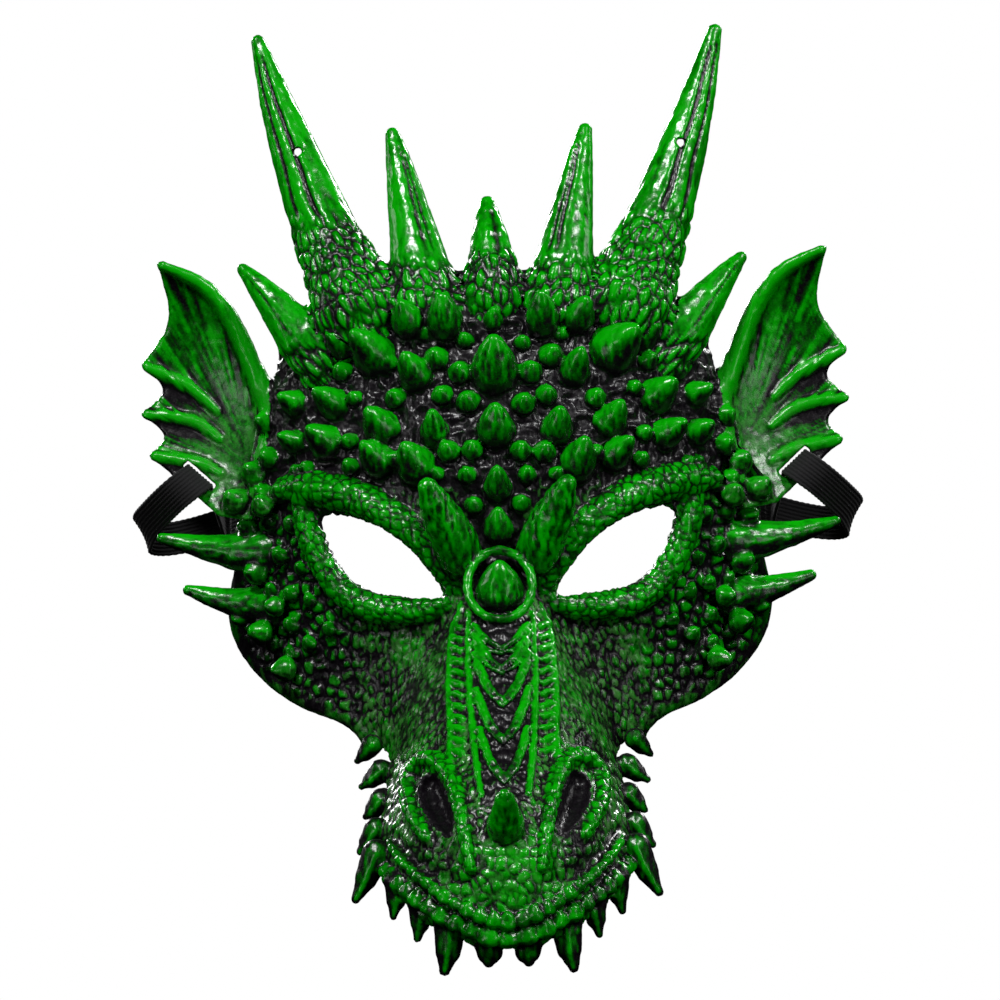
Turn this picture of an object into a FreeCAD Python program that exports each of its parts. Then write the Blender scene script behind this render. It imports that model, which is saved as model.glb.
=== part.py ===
import FreeCAD, Part
import math
import os

from FreeCAD import Placement, Rotation, Vector

# A foam dragon mask worn on the face, with an elastic strap. Millimetres, +Z up, the mask faces -Y and
# +X is the viewer's right. The origin is on the inner face at the bridge of the nose, on the eye line.
# The moulding is a hollow form: a head form and a snout form, joined, hollowed by the wall thickness and
# trimmed to the outline seen from the front. Raised features are slices of the same forms grown outwards.

DIMENSIONS = {
    "wall": 4.0,
    "reach": 320.0,            # long enough to pass right through the mask, fore and aft
    "head_half": 118.0,        # half the width of the head form
    "head_depth": 135.0,       # its half depth, from the front to the widest place
    "snout_depth": 70.0,
    "ridge_height": 3.0,
    "brow_height": 5.0,
    "ear_radius": 100.0,       # each ear is a piece of a hollow ball, cupped towards the front
    "ear_thick": 3.5,
    "ear_ball_x": 118.0,
    "ear_ball_y": -54.0,
    "ear_ball_z": 60.0,
    "slot_x": 104.5,
    "slot_z": 30.5,
    "slot_length": 13.4,
    "slot_gap": 3.0,
    "slot_slope": 42.5,        # degrees up from level, towards the outside
    "strap_width": 12.0,
    "strap_thick": 1.2,
    "hang_hole_radius": 1.3,
    "hang_hole_x": 67.0,
    "hang_hole_z": 143.5,
    "spike_rise": 45.0,        # degrees by which the forehead spikes point up from straight ahead
}

# Head form: height and how far forward its front is. Snout form: the same and its half width.
HEAD_LEVELS = [(115, 26), (90, 10), (60, -2), (30, -7), (0, -4), (-30, 4), (-60, 6), (-90, 12)]
SNOUT_LEVELS = [
    (10, 4, 14), (-10, -12, 20), (-30, -26, 30), (-50, -42, 36), (-70, -59, 39),
    (-85, -72, 43), (-100, -80, 46), (-115, -82.5, 47), (-128, -79, 45), (-140, -72, 38),
]

doc = FreeCAD.newDocument("dragon_mask")
dims = doc.addObject("Spreadsheet::Sheet", "dims")


def add_dimension(name, value):
    row = add_dimension.row
    dims.set(f"A{row}", name)
    dims.set(f"B{row}", str(value))
    dims.setAlias(f"B{row}", name)
    add_dimension.row += 1


add_dimension.row = 1


def fill_sheet():
    for name, value in DIMENSIONS.items():
        add_dimension(name, value)
    for step, (level, front) in enumerate(HEAD_LEVELS):
        add_dimension(f"head_level_{step}", level)
        add_dimension(f"head_front_{step}", front)
    for step, (level, front, half) in enumerate(SNOUT_LEVELS):
        add_dimension(f"snout_level_{step}", level)
        add_dimension(f"snout_front_{step}", front)
        add_dimension(f"snout_half_{step}", half)
    doc.recompute()


def bind(item, **expressions):
    """Bind properties to the sheet; a double underscore in a name stands for a dot."""
    for prop, expression in expressions.items():
        item.setExpression(prop.replace("__", "."), expression)
    return item


# ---- combining -------------------------------------------------------------------------------------

def cut(name, base, tool):
    item = doc.addObject("Part::Cut", name)
    item.Base = base
    item.Tool = tool
    return item


def common(name, base, tool):
    item = doc.addObject("Part::Common", name)
    item.Base = base
    item.Tool = tool
    return item


def fuse(name, items):
    item = doc.addObject("Part::MultiFuse", name)
    item.Shapes = items
    return item


def loft(name, sections):
    item = doc.addObject("Part::Loft", name)
    item.Sections = sections
    item.Solid = True
    return item


def mirror(name, source):
    """The same piece on the other side of the midplane."""
    item = doc.addObject("Part::Mirroring", name)
    item.Source = source
    item.Base = Vector(0, 0, 0)
    item.Normal = Vector(1, 0, 0)
    return item


# ---- outlines seen from the front, pushed right through the mask -----------------------------------

def front_sketch(name):
    sketch = doc.addObject("Sketcher::SketchObject", name)
    sketch.Placement = Placement(Vector(0, 160, 0), Rotation(Vector(1, 0, 0), 90))
    return sketch


def push_through(name, sketch):
    item = doc.addObject("Part::Extrusion", name)
    item.Base = sketch
    item.DirMode = "Custom"
    item.Dir = Vector(0, -1, 0)
    item.Solid = True
    return bind(item, LengthFwd="dims.reach")


def flat(points):
    return [Vector(x, z, 0) for x, z in points]


def rounded_prism(name, points):
    """A prism whose outline is one smooth closed curve through the points."""
    sketch = front_sketch(name + "_outline")
    curve = Part.BSplineCurve()
    curve.interpolate(flat(points), PeriodicFlag=True)
    sketch.addGeometry(curve)
    return push_through(name, sketch)


def straight_prism(name, points):
    sketch = front_sketch(name + "_outline")
    corners = flat(points)
    for start, end in zip(corners, corners[1:] + corners[:1]):
        sketch.addGeometry(Part.LineSegment(start, end))
    return push_through(name, sketch)


def open_curve(points):
    curve = Part.BSplineCurve()
    curve.interpolate(flat(points))
    return curve


def both_sides(points):
    """Points of the +X half, listed downwards, with the other half added to close the outline."""
    return points + [(-x, z) for x, z in reversed(points) if x > 0]


# ---- forms -----------------------------------------------------------------------------------------

def form_section(name, level, front, half, depth, grow):
    """A level ellipse, longer fore and aft than across."""
    item = doc.addObject("Part::Ellipse", name)
    item.Placement = Placement(Vector(0, 0, 0), Rotation(Vector(0, 0, 1), 90))
    # the radii start large so that the longer one is never the smaller while the sheet is read
    item.MajorRadius = 400
    return bind(
        item,
        MajorRadius=f"dims.{depth} + {grow}",
        MinorRadius=f"{half} + {grow}",
        Placement__Base__y=f"{front} + dims.{depth}",
        Placement__Base__z=level,
    )


def solid_form(name, grow):
    """The joined head and snout, grown outwards everywhere by the expression grow."""
    head = [
        form_section(f"{name}_head_{step}", f"dims.head_level_{step}", f"dims.head_front_{step}",
                     "dims.head_half", "head_depth", grow)
        for step in range(len(HEAD_LEVELS))
    ]
    snout = [
        form_section(f"{name}_snout_{step}", f"dims.snout_level_{step}", f"dims.snout_front_{step}",
                     f"dims.snout_half_{step}", "snout_depth", grow)
        for step in range(len(SNOUT_LEVELS))
    ]
    return fuse(name, [loft(name + "_head", head), loft(name + "_snout", snout)])


OUTLINE_HALF = [
    (0, 101), (22, 102), (40, 99), (62, 92), (76, 80), (77, 62), (86, 38), (93, 20), (94, 0),
    (96, -22), (86, -38), (76, -49), (62, -57), (50, -64), (49, -80), (54, -105), (50, -150), (0, -152),
]


def mouth_wedge():
    """What the open mouth takes away: all below a line from the mouth's corner to the front lip."""
    sketch = doc.addObject("Sketcher::SketchObject", "mouth_wedge_outline")
    sketch.Placement = Placement(Vector(-160, 0, 0), Rotation(0.5, 0.5, 0.5, 0.5))
    corner = (18, -66)
    lip = (-73, -135)
    slope = (corner[1] - lip[1]) / (corner[0] - lip[0])
    far_front = (-140, corner[1] + slope * (-140 - corner[0]))
    points = [corner, far_front, (-140, -220), (160, -220), (160, -66)]
    corners = [Vector(y, z, 0) for y, z in points]
    for start, end in zip(corners, corners[1:] + corners[:1]):
        sketch.addGeometry(Part.LineSegment(start, end))
    item = doc.addObject("Part::Extrusion", "mouth_wedge")
    item.Base = sketch
    item.DirMode = "Custom"
    item.Dir = Vector(1, 0, 0)
    item.Solid = True
    return bind(item, LengthFwd="dims.reach")


EYE = [(61, 15), (46, 13), (33, 5), (23, -7), (20.5, -14), (32, -13.5), (46, -10.5), (56, -2)]
BROW = [(72, 24), (50, 27), (30, 20), (15, 6), (10, -14), (22, -24), (45, -22), (64, -10), (73, 6)]
NOSTRIL = [(27, -79), (19, -84), (16, -94), (18, -101), (25, -100), (30, -90)]
NOSTRIL_RIM = [(29, -70), (17, -74), (10, -88), (12, -108), (26, -108), (37, -95), (37, -78)]
RIDGE_HALF = [(0, -14), (12, -22), (13.5, -50), (12.5, -80), (0, -86)]


def build_shell(trimmed):
    hollow = solid_form("hollow_form", "(0 - dims.wall)")
    walls = cut("walls", trimmed, hollow)
    eye_right = rounded_prism("eye_right", EYE)
    eyes = fuse("eyes", [eye_right, mirror("eye_left", eye_right)])
    whole = cut("whole_shell", walls, eyes)
    zone = straight_prism("snout_zone", both_sides([(20, -6), (49, -62), (70, -70), (70, -160)]))
    face = cut("face_shell", whole, zone)
    snout = common("snout_shell", whole, zone)
    return face, snout, eye_right


def relief_layer(name, form, wedge, height):
    """A skin of the given height on the front of the form."""
    skin = cut(name + "_skin", solid_form(name + "_form", f"dims.{height}"), form)
    front = doc.addObject("Part::Box", name + "_front")
    front.Placement = Placement(Vector(-150, -150, -200), Rotation())
    bind(front, Length="dims.reach", Width="dims.reach / 2 + 40", Height="dims.reach + 50")
    return cut(name, common(name + "_front_skin", skin, front), wedge)


def build_relief(form, wedge, eye_right):
    """Raised bands that follow the moulding's surface."""
    high = relief_layer("brow_layer", form, wedge, "brow_height")
    low = relief_layer("ridge_layer", form, wedge, "ridge_height")
    brow_zone = cut("brow_zone", rounded_prism("brow_outline", BROW), eye_right)
    brow = common("brow_ring_right", high, brow_zone)
    rim_zone = cut("rim_zone", rounded_prism("rim_outline", NOSTRIL_RIM), rounded_prism("nostril", NOSTRIL))
    rim = common("nostril_rim_right", high, rim_zone)
    ridge = common("nose_ridge", low, straight_prism("ridge_zone", both_sides(RIDGE_HALF)))
    lip_zone = rounded_prism("lip_outer", both_sides([(0, -112), (22, -112), (45, -88), (56, -84),
                                                      (56, -120), (30, -150), (0, -152)]))
    rim_left = mirror("nostril_rim_left", rim)
    lip_band = common("lip_band", low, lip_zone)
    lip = cut("front_lip", lip_band, fuse("nostril_rims", [rim, rim_left]))
    return [brow, mirror("brow_ring_left", brow), rim, rim_left, ridge, lip]


# ---- horns, spikes and teeth -----------------------------------------------------------------------

def horn(name, root, tip, half_wide, half_deep, bow=0.0):
    """A horn of level oval sections from root to tip, its middle bowed sideways by bow."""
    sections = []
    steps = [0.0, 0.3, 0.6, 0.85, 1.0]
    share = [1.0, 0.8, 0.56, 0.32, 0.12]
    for step, (along, thick) in enumerate(zip(steps, share)):
        centre = root + (tip - root) * along
        centre.x += bow * 4 * along * (1 - along)
        item = doc.addObject("Part::Ellipse", f"{name}_section_{step}")
        item.MajorRadius = half_wide * thick
        item.MinorRadius = half_deep * thick
        item.Placement = Placement(centre, Rotation())
        sections.append(item)
    return loft(name, sections)


def turn_to(direction):
    return Rotation(Vector(0, 0, 1), direction)


def cone(name, root, tip, radius, tip_radius=0.8):
    item = doc.addObject("Part::Cone", name)
    item.Radius1 = radius
    item.Radius2 = tip_radius
    item.Height = (tip - root).Length
    item.Placement = Placement(root, turn_to(tip - root))
    return item


def head_surface(x, z):
    """How far forward the head form is at a place seen from the front."""
    levels = list(reversed(HEAD_LEVELS))
    for (low, low_front), (high, high_front) in zip(levels, levels[1:]):
        if low <= z <= high:
            front = low_front + (high_front - low_front) * (z - low) / (high - low)
            break
    bulge = 1 - math.sqrt(1 - (x / DIMENSIONS["head_half"]) ** 2)
    return front + DIMENSIONS["head_depth"] * bulge


def bullet(name, x, low, high, width):
    """A blunt spike on the forehead, as wide as width, reaching from low up to high."""
    radius = width / 2
    rise = math.radians(DIMENSIONS["spike_rise"])
    centre_z = low + radius
    length = max((high - centre_z) / math.sin(rise), radius)
    item = doc.addObject("Part::Ellipsoid", name)
    item.Radius1 = length
    item.Radius2 = radius
    item.Radius3 = radius
    centre = Vector(x, head_surface(x, centre_z), centre_z)
    outward = Vector(0.25 * x / DIMENSIONS["head_half"], -math.cos(rise), math.sin(rise))
    item.Placement = Placement(centre, turn_to(outward))
    return item


# x, lowest and highest point, width; the other side mirrors what is off the midline
MIDLINE_SPIKES = [(0, 56, 76, 14.4), (0, 40, 52, 10.2), (0, 20, 31, 8.8), (0, 5, 16, 10.9)]
SIDE_SPIKES = [
    (18.5, 77, 91, 10.9), (31.3, 78, 90, 7), (45, 65, 82, 14), (29.4, 59, 71.4, 9.5),
    (41.3, 43, 53, 10.9), (21.7, 41, 50.5, 9.5), (43.5, 30, 41, 9.6), (29.6, 26, 40, 7.7),
    (62, 51, 60, 10.6), (64.6, 37.5, 48, 9.6), (73.5, 51, 60, 7.5),
]
KNOBS = [
    (20.7, 68.6, 7.7), (12.8, 63.7, 6.6), (17.9, 56, 6.3), (9.8, 74.6, 4.9), (34.7, 55.7, 5.6),
    (15.8, 35.7, 6.6), (9.2, 28.4, 5.6), (8.4, 17.5, 5.6), (72.5, 43.5, 6.4), (80, 39, 6), (81.5, 24, 7),
]


def spike_group(name, rows, trimmed, horns):
    items = []
    for count, (x, low, high, width) in enumerate(rows):
        items.append(bullet(f"{name}_{count}", x, low, high, width))
        if x:
            items.append(bullet(f"{name}_{count}_far", -x, low, high, width))
    clear = cut(name + "_clear", fuse(name + "_all", items), trimmed)
    return cut(name, clear, horns)


def build_spikes(trimmed, horns):
    knob_rows = [(x, z - width / 2, z + width / 2, width) for x, z, width in KNOBS]
    return [
        spike_group("forehead_spikes", MIDLINE_SPIKES + SIDE_SPIKES, trimmed, horns),
        spike_group("forehead_knobs", knob_rows + [(0, 80.5, 87, 6.3)], trimmed, horns),
    ]


def build_horns(trimmed):
    outer = horn("horn_outer_body", Vector(49, 20, 84), Vector(80, 48, 184), 16.5, 11, bow=3)
    hole = doc.addObject("Part::Cylinder", "hang_hole")
    hole.Placement = Placement(Vector(0, 120, 0), Rotation(Vector(1, 0, 0), 90))
    bind(hole, Radius="dims.hang_hole_radius", Height="dims.reach",
         Placement__Base__x="dims.hang_hole_x", Placement__Base__z="dims.hang_hole_z")
    outer_right = cut("outer_horn_right", cut("horn_outer_clear", outer, trimmed), hole)
    mid = horn("horn_mid_body", Vector(23, 10, 88), Vector(34, 32, 150.5), 11.5, 8)
    mid_right = cut("mid_horn_right", mid, trimmed)
    centre = horn("horn_centre_body", Vector(0, 9, 90), Vector(0, 24, 125.5), 9.5, 7.5)
    side = cone("side_spike_body", Vector(64, 17, 73), Vector(88, 30, 103), 12, 1.2)
    side_right = cut("side_spike_right", cut("side_spike_clear", side, trimmed), outer_right)
    return [
        outer_right, mirror("outer_horn_left", outer_right),
        mid_right, mirror("mid_horn_left", mid_right),
        cut("centre_horn", centre, trimmed),
        side_right, mirror("side_spike_left", side_right),
    ]


# root, tip and root radius of each upper tooth on the +X side, from the mouth's corner to the front
TEETH = [
    ((46, 10, -65), (51.3, 12, -70.5), 3.4), ((43, 0, -74), (50.2, 1, -79.5), 3.7),
    ((43, -12, -84), (49, -11, -90), 3.8), ((45, -26, -94), (51.3, -25, -102), 3.9),
    ((45, -38, -102), (53.2, -38, -119), 4.5), ((38, -50, -112), (39.7, -50, -124.3), 3.9),
    ((30, -59, -120), (31.5, -59, -132), 3.9), ((20, -67, -127), (22.6, -67, -144.5), 5.0),
    ((7, -71, -130), (7, -71, -142), 5.2),
]


def build_teeth(trimmed, lip):
    solids = []
    for count, (root, tip, radius) in enumerate(TEETH):
        solids.append(cone(f"tooth_{count}", Vector(*root), Vector(*tip), radius))
    clear = cut("teeth_clear", fuse("teeth_all", solids), trimmed)
    right = cut("teeth_right", clear, lip)
    return [right, mirror("teeth_left", right)]


def ellipsoid(name, centre, along, across, deep, direction):
    item = doc.addObject("Part::Ellipsoid", name)
    item.Radius1 = along
    item.Radius2 = across
    item.Radius3 = deep
    item.Placement = Placement(centre, turn_to(direction))
    return item


def build_face_spikes(trimmed, brow_right, ridge):
    """The brow spikes, the knob and spike on the nose, and the cheek spikes."""
    brow_spike = cone("brow_spike_body", Vector(14.5, -6, -1), Vector(25.5, -24, 28), 7.5, 1.6)
    brow_clear = cut("brow_spike_clear", brow_spike, trimmed)
    brow_spike_right = cut("brow_spike_right", brow_clear, brow_right)
    knob = ellipsoid("nose_knob_body", Vector(0, -13, -9), 11, 8.5, 8, Vector(0, -0.3, 1))
    knob_clear = cut("nose_knob_clear", knob, trimmed)
    nose_knob = cut("nose_knob", cut("nose_knob_free", knob_clear, ridge), brow_spike_right)
    tip = ellipsoid("nose_spike_body", Vector(0, -78, -92), 15, 6.5, 6.5, Vector(0, -0.75, 0.66))
    nose_spike = cut("nose_spike", cut("nose_spike_clear", tip, trimmed), ridge)
    cheek_parts = [
        cone("cheek_spike_high", Vector(86, 40, 4), Vector(120, 42, 9.5), 7.5, 1.4),
        cone("cheek_spike_low", Vector(84, 42, -13.5), Vector(112, 44, -8.5), 6, 1.2),
        ellipsoid("cheek_knob_high", Vector(85, 37, -25), 6, 4.5, 4.5, Vector(1, -0.3, 0)),
        ellipsoid("cheek_knob_low", Vector(76, 32, -38), 6, 4.5, 4.5, Vector(1, -0.3, -0.3)),
        ellipsoid("temple_knob", Vector(87, 36, 21), 6, 4, 4, Vector(0.8, -0.6, 0.2)),
    ]
    cheek_right = cut("cheek_spikes_right", fuse("cheek_parts", cheek_parts), trimmed)
    return [
        brow_spike_right, mirror("brow_spike_left", brow_spike_right), nose_knob, nose_spike,
        cheek_right, mirror("cheek_spikes_left", cheek_right),
    ]


# ---- ears ------------------------------------------------------------------------------------------

def ear_outline():
    """Scalloped like a bat's wing: hollow curves between the points, then the lower and inner edges."""
    sketch = front_sketch("ear_outline")
    tip = (117.5, 106)
    points = [(124, 70), (124.5, 53), (122, 38)]
    hollows = [(114.5, 84), (118.5, 61), (118, 45)]
    start = tip
    for hollow, point in zip(hollows, points):
        sketch.addGeometry(Part.Arc(*flat([start, hollow, point])))
        start = point
    low = (98, 16)
    root_low = (86, 14)
    root_high = (74, 58)
    sketch.addGeometry(Part.LineSegment(*flat([start, low])))
    sketch.addGeometry(Part.LineSegment(*flat([low, root_low])))
    sketch.addGeometry(Part.LineSegment(*flat([root_low, root_high])))
    sketch.addGeometry(open_curve([root_high, (82.5, 66), (89, 82), (101, 97), tip]))
    return push_through("ear_zone", sketch)


def ear_ball(name, sign):
    ball = doc.addObject("Part::Sphere", name)
    return bind(ball, Radius=f"dims.ear_radius {sign} dims.ear_thick / 2",
                Placement__Base__x="dims.ear_ball_x", Placement__Base__y="dims.ear_ball_y",
                Placement__Base__z="dims.ear_ball_z")


def build_ears(trimmed, neighbours):
    ball = cut("ear_ball_shell", ear_ball("ear_ball_outer", "+"), ear_ball("ear_ball_inner", "-"))
    back_half = doc.addObject("Part::Box", "ear_back_half")
    back_half.Length = 400
    back_half.Width = 400
    back_half.Height = 400
    back_half.Placement = Placement(Vector(-100, -54, -150), Rotation())
    cup = common("ear_cup", common("ear_bowl", ball, back_half), ear_outline())
    slot = doc.addObject("Part::Box", "strap_slot")
    bind(slot, Length="dims.slot_length", Width="dims.reach", Height="dims.slot_gap")
    length = DIMENSIONS["slot_length"]
    gap = DIMENSIONS["slot_gap"]
    turn = Rotation(Vector(0, 1, 0), -DIMENSIONS["slot_slope"])
    middle = Vector(DIMENSIONS["slot_x"], 0, DIMENSIONS["slot_z"])
    corner = middle - turn.multVec(Vector(length / 2, 0, gap / 2)) + Vector(0, -100, 0)
    slot.Placement = Placement(corner, turn)
    ear = cut("ear_slotted", cut("ear_clear", cup, trimmed), slot)
    for count, neighbour in enumerate(neighbours):
        ear = cut(f"ear_free_{count}", ear, neighbour)
    ear.Label = "ear_right"
    return [ear, mirror("ear_left", ear)]


# ---- strap -----------------------------------------------------------------------------------------

def between(places, values, place):
    """The value at place, in proportion between its two neighbours."""
    for low, high, start, end in zip(places, places[1:], values, values[1:]):
        if place <= high:
            return start + (end - start) * ((place - low) / (high - low))
    return values[-1]


def strip(name, stations, pieces):
    """The strap's strip along a smooth curve through stations, each a centre and the direction of its
    width. It twists too much for a sweep, so it is a ruled loft of that many pieces."""
    wide = dims.strap_width / 2
    thin = dims.strap_thick / 2
    centre_line = Part.BSplineCurve()
    centre_line.interpolate([Vector(*centre) for centre, across in stations])
    knots = centre_line.getKnots()
    widths = [Vector(*across) for centre, across in stations]
    first, last = knots[0], knots[-1]
    sections = []
    for step in range(pieces + 1):
        place = first + (last - first) * step / pieces
        centre = centre_line.value(place)
        along = centre_line.tangent(place)[0]
        across = between(knots, widths, place)
        across = (across - along * across.dot(along)).normalize() * wide
        thick = along.cross(across).normalize() * thin
        corners = [centre - across - thick, centre + across - thick,
                   centre + across + thick, centre - across + thick]
        sections.append(Part.makePolygon(corners + corners[:1]))
    item = doc.addObject("Part::Feature", name)
    item.Shape = Part.makeLoft(sections, True, True)
    return item


SLOT_LINE = (0.737, 0, 0.675)
LOOP = [
    ((96.5, 75.0, 16.0), (0.05, 0, 1)), ((99.5, 66, 19.5), (0.3, 0, 0.95)), ((103, 54, 26.5), (0.6, 0, 0.8)),
    ((104.5, 46, 30.2), SLOT_LINE), ((104.5, 40.6, 30.5), SLOT_LINE), ((104.8, 35.2, 30.2), SLOT_LINE),
    ((108.3, 31.2, 27.8), SLOT_LINE), ((114, 33.5, 23.4), SLOT_LINE), ((120, 43.5, 18), SLOT_LINE),
    ((124.5, 56, 13), (0.6, -0.1, 0.8)), ((124.0, 67.5, 9.5), (0.3, -0.2, 0.93)),
    ((117.5, 76, 8.5), (0.1, -0.1, 0.99)), ((108, 79, 10), (0, 0, 1)), ((97, 80, 13), (0, 0, 1)),
]
BAND_HALF = [
    ((97, 80, 13), (0, 0, 1)), ((88, 91.5, 17.5), (0, 0, 1)), ((74, 106, 22), (0, 0, 1)),
    ((54, 121, 27), (0, 0, 1)), ((28, 131.5, 31), (0, 0, 1)), ((0, 135, 32.5), (0, 0, 1)),
]


def build_strap():
    loop = strip("strap_loop_right", LOOP, 40)
    far_half = [((-x, y, z), across) for (x, y, z), across in reversed(BAND_HALF[:-1])]
    band = strip("strap_band", BAND_HALF + far_half, 48)
    tack = doc.addObject("Part::Box", "bar_tack_right")
    tack.Length = 4
    tack.Width = 8.5
    tack.Height = 9
    tack.Placement = Placement(Vector(95.5, 73.0, 10.0), Rotation(Vector(0, 0, 1), 8))
    return [loop, mirror("strap_loop_left", loop), band, tack, mirror("bar_tack_left", tack)]


# ---- the whole mask --------------------------------------------------------------------------------

def build():
    fill_sheet()
    form = solid_form("outer_form", "0")
    outline = straight_prism("outline", both_sides(OUTLINE_HALF))
    wedge = mouth_wedge()
    trimmed = cut("trimmed_form", common("form_in_outline", form, outline), wedge)
    face, snout, eye_right = build_shell(trimmed)
    relief = build_relief(form, wedge, eye_right)
    brow_right = relief[0]
    ridge = relief[4]
    lip = relief[5]
    horns = build_horns(trimmed)
    spikes = build_spikes(trimmed, fuse("all_horns", horns))
    parts = [face, snout] + relief + horns + spikes
    parts += build_face_spikes(trimmed, brow_right, ridge)
    cheek_right = parts[-2]
    parts += build_teeth(trimmed, lip)
    parts += build_ears(trimmed, [cheek_right, spikes[1]])
    parts += build_strap()
    return parts


def check(parts):
    doc.recompute()
    for item in doc.Objects:
        if "Invalid" in item.State or "Error" in item.State:
            raise RuntimeError(f"{item.Name} failed: {item.State}")
    for item in parts:
        shape = item.Shape
        if shape.isNull() or not shape.isValid() or not shape.Solids:
            raise RuntimeError(f"{item.Label} has no valid solid")
        print(f"{item.Label}: {len(shape.Solids)} solids, {shape.Volume:.0f} cubic mm")


def write(parts):
    os.makedirs("parts", exist_ok=True)
    for item in parts:
        item.Shape.exportStep(f"parts/{item.Label}.step")


mask_parts = build()
check(mask_parts)
write(mask_parts)
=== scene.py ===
import itertools
import math

import bpy
import numpy as np
import openvdb
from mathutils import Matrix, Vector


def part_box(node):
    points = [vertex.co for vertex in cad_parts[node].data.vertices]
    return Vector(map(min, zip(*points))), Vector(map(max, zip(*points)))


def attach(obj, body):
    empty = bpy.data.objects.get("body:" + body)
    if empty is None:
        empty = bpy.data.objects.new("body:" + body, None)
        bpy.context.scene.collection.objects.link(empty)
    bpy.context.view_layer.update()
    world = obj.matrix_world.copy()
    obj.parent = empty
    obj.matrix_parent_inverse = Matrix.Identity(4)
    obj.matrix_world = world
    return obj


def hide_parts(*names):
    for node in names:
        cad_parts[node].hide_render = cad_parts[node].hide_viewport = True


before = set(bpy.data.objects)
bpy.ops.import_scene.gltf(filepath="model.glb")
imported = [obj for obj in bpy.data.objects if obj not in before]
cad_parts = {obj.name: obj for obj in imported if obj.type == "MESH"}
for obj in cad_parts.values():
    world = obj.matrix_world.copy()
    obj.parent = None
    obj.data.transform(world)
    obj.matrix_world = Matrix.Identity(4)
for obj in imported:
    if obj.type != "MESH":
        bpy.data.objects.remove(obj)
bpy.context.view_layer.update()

# The moulding is worked out as a field of distances to its surface, in millimetres, on a grid of voxels:
# negative inside the foam. The field is meshed, its scales and creases are pressed into the mesh, and the
# mesh is divided into the named features of the moulding. Lengths here are millimetres until a piece is
# made. x is to the viewer's right, y away from the viewer, z up, as in the frame.

MM = 0.001
VOXEL = 0.75
WALL = 4.0

# ---- shapes shared with the frame ----
HEAD_HALF = 118.0
HEAD_DEPTH = 135.0
SNOUT_DEPTH = 70.0
# (height, front) of the head form
HEAD_LEVELS = [(-90, 12), (-60, 6), (-30, 4), (0, -4), (30, -7), (60, -2), (90, 10), (115, 26)]
# (height, front, half width) of the snout form
SNOUT_LEVELS = [
    (-140, -72, 38), (-128, -79, 45), (-115, -82.5, 47), (-100, -80, 46), (-85, -72, 43),
    (-70, -59, 39), (-50, -42, 36), (-30, -26, 30), (-10, -12, 20), (10, 4, 14),
]
# the right half of the outline in the front view, (x, z)
OUTLINE_HALF = [
    (0, 101), (12, 100), (22, 102), (40, 99), (62, 92), (73, 80), (78, 62), (86, 38), (92, 20), (93, 0),
    (96, -18), (92, -32), (82, -44), (70, -52), (56, -58), (50, -66), (54, -80), (58, -105), (50, -150),
    (0, -152),
]
# two (y, z) points on the open mouth's edge
MOUTH_CORNER = (18.0, -66.0)
MOUTH_FRONT = (-73.0, -135.0)
EYE = [(61, 15), (46, 13), (33, 5), (23, -7), (20.5, -14), (32, -13.5), (46, -10.5), (56, -2)]
EAR_CENTRE = (118.0, -54.0, 60.0)
EAR_RADIUS = 100.0
EAR_THICK = 3.5
# strap slot: centre x and z, length, gap, slope in degrees
SLOT = (104.5, 30.5, 13.4, 3.0, 42.5)
# hang hole: centre x and z, radius
HANG_HOLE = (67.0, 143.5, 1.3)
# teeth of one side: root, tip, radius
TEETH = [
    ((46, 10, -65), (51.3, 12, -70.5), 3.4), ((43, 0, -74), (50.2, 1, -79.5), 3.7),
    ((43, -12, -84), (49, -11, -90), 3.8), ((45, -26, -94), (51.3, -25, -102), 3.9),
    ((45, -38, -102), (53.2, -38, -119), 4.5), ((38, -50, -112), (39.7, -50, -124.3), 3.9),
    ((30, -59, -120), (31.5, -59, -132), 3.9), ((20, -67, -127), (22.6, -67, -144.5), 5.0),
    ((7, -71, -130), (7, -71, -142), 5.2),
]
# the first 20 features are pieces of their own, and the rest belong to mask_skin
FEATURES = [
    "mask_skin", "outer_horn_left", "outer_horn_right", "mid_horn_left", "mid_horn_right", "centre_horn",
    "side_spike_left", "side_spike_right", "ear_left", "ear_right", "teeth_left", "teeth_right",
    "cheek_spikes_left", "cheek_spikes_right", "forehead_spikes", "forehead_knobs", "brow_spike_left",
    "brow_spike_right", "nose_knob", "nose_spike",
    "snout", "brow_ring", "nose_ridge", "nostril_rim", "front_lip", "nostril",
]
PIECES = FEATURES[:20]
SIDES = [("left", -1), ("right", 1)]


# ---- numbers and curves ----

def smooth_profile(levels, values, heights, spread=7.0):
    """Values at the given heights, eased between the levels."""
    step = heights[1] - heights[0]
    reach = int(3 * spread / step)
    weights = np.exp(-0.5 * (np.arange(-reach, reach + 1) * step / spread) ** 2)
    weights /= weights.sum()
    longer = np.concatenate([heights[0] - step * np.arange(reach, 0, -1), heights,
                             heights[-1] + step * np.arange(1, reach + 1)])
    high_slope = (values[-1] - values[-2]) / (levels[-1] - levels[-2])
    low_slope = (values[1] - values[0]) / (levels[1] - levels[0])
    raw = np.interp(longer, levels, values)
    raw = np.where(longer > levels[-1], values[-1] + high_slope * (longer - levels[-1]), raw)
    raw = np.where(longer < levels[0], values[0] + low_slope * (longer - levels[0]), raw)
    return np.convolve(raw, weights, mode="valid")


PROFILE_HEIGHTS = np.arange(-160.0, 130.0, 1.0)


def profile(table, column):
    levels = [row[0] for row in table]
    return smooth_profile(levels, [row[column] for row in table], PROFILE_HEIGHTS)


HEAD_FRONT = profile(HEAD_LEVELS, 1)
SNOUT_FRONT = profile(SNOUT_LEVELS, 1)
SNOUT_HALF = profile(SNOUT_LEVELS, 2)


def at_height(values, z):
    return np.interp(z, PROFILE_HEIGHTS, values)


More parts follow.
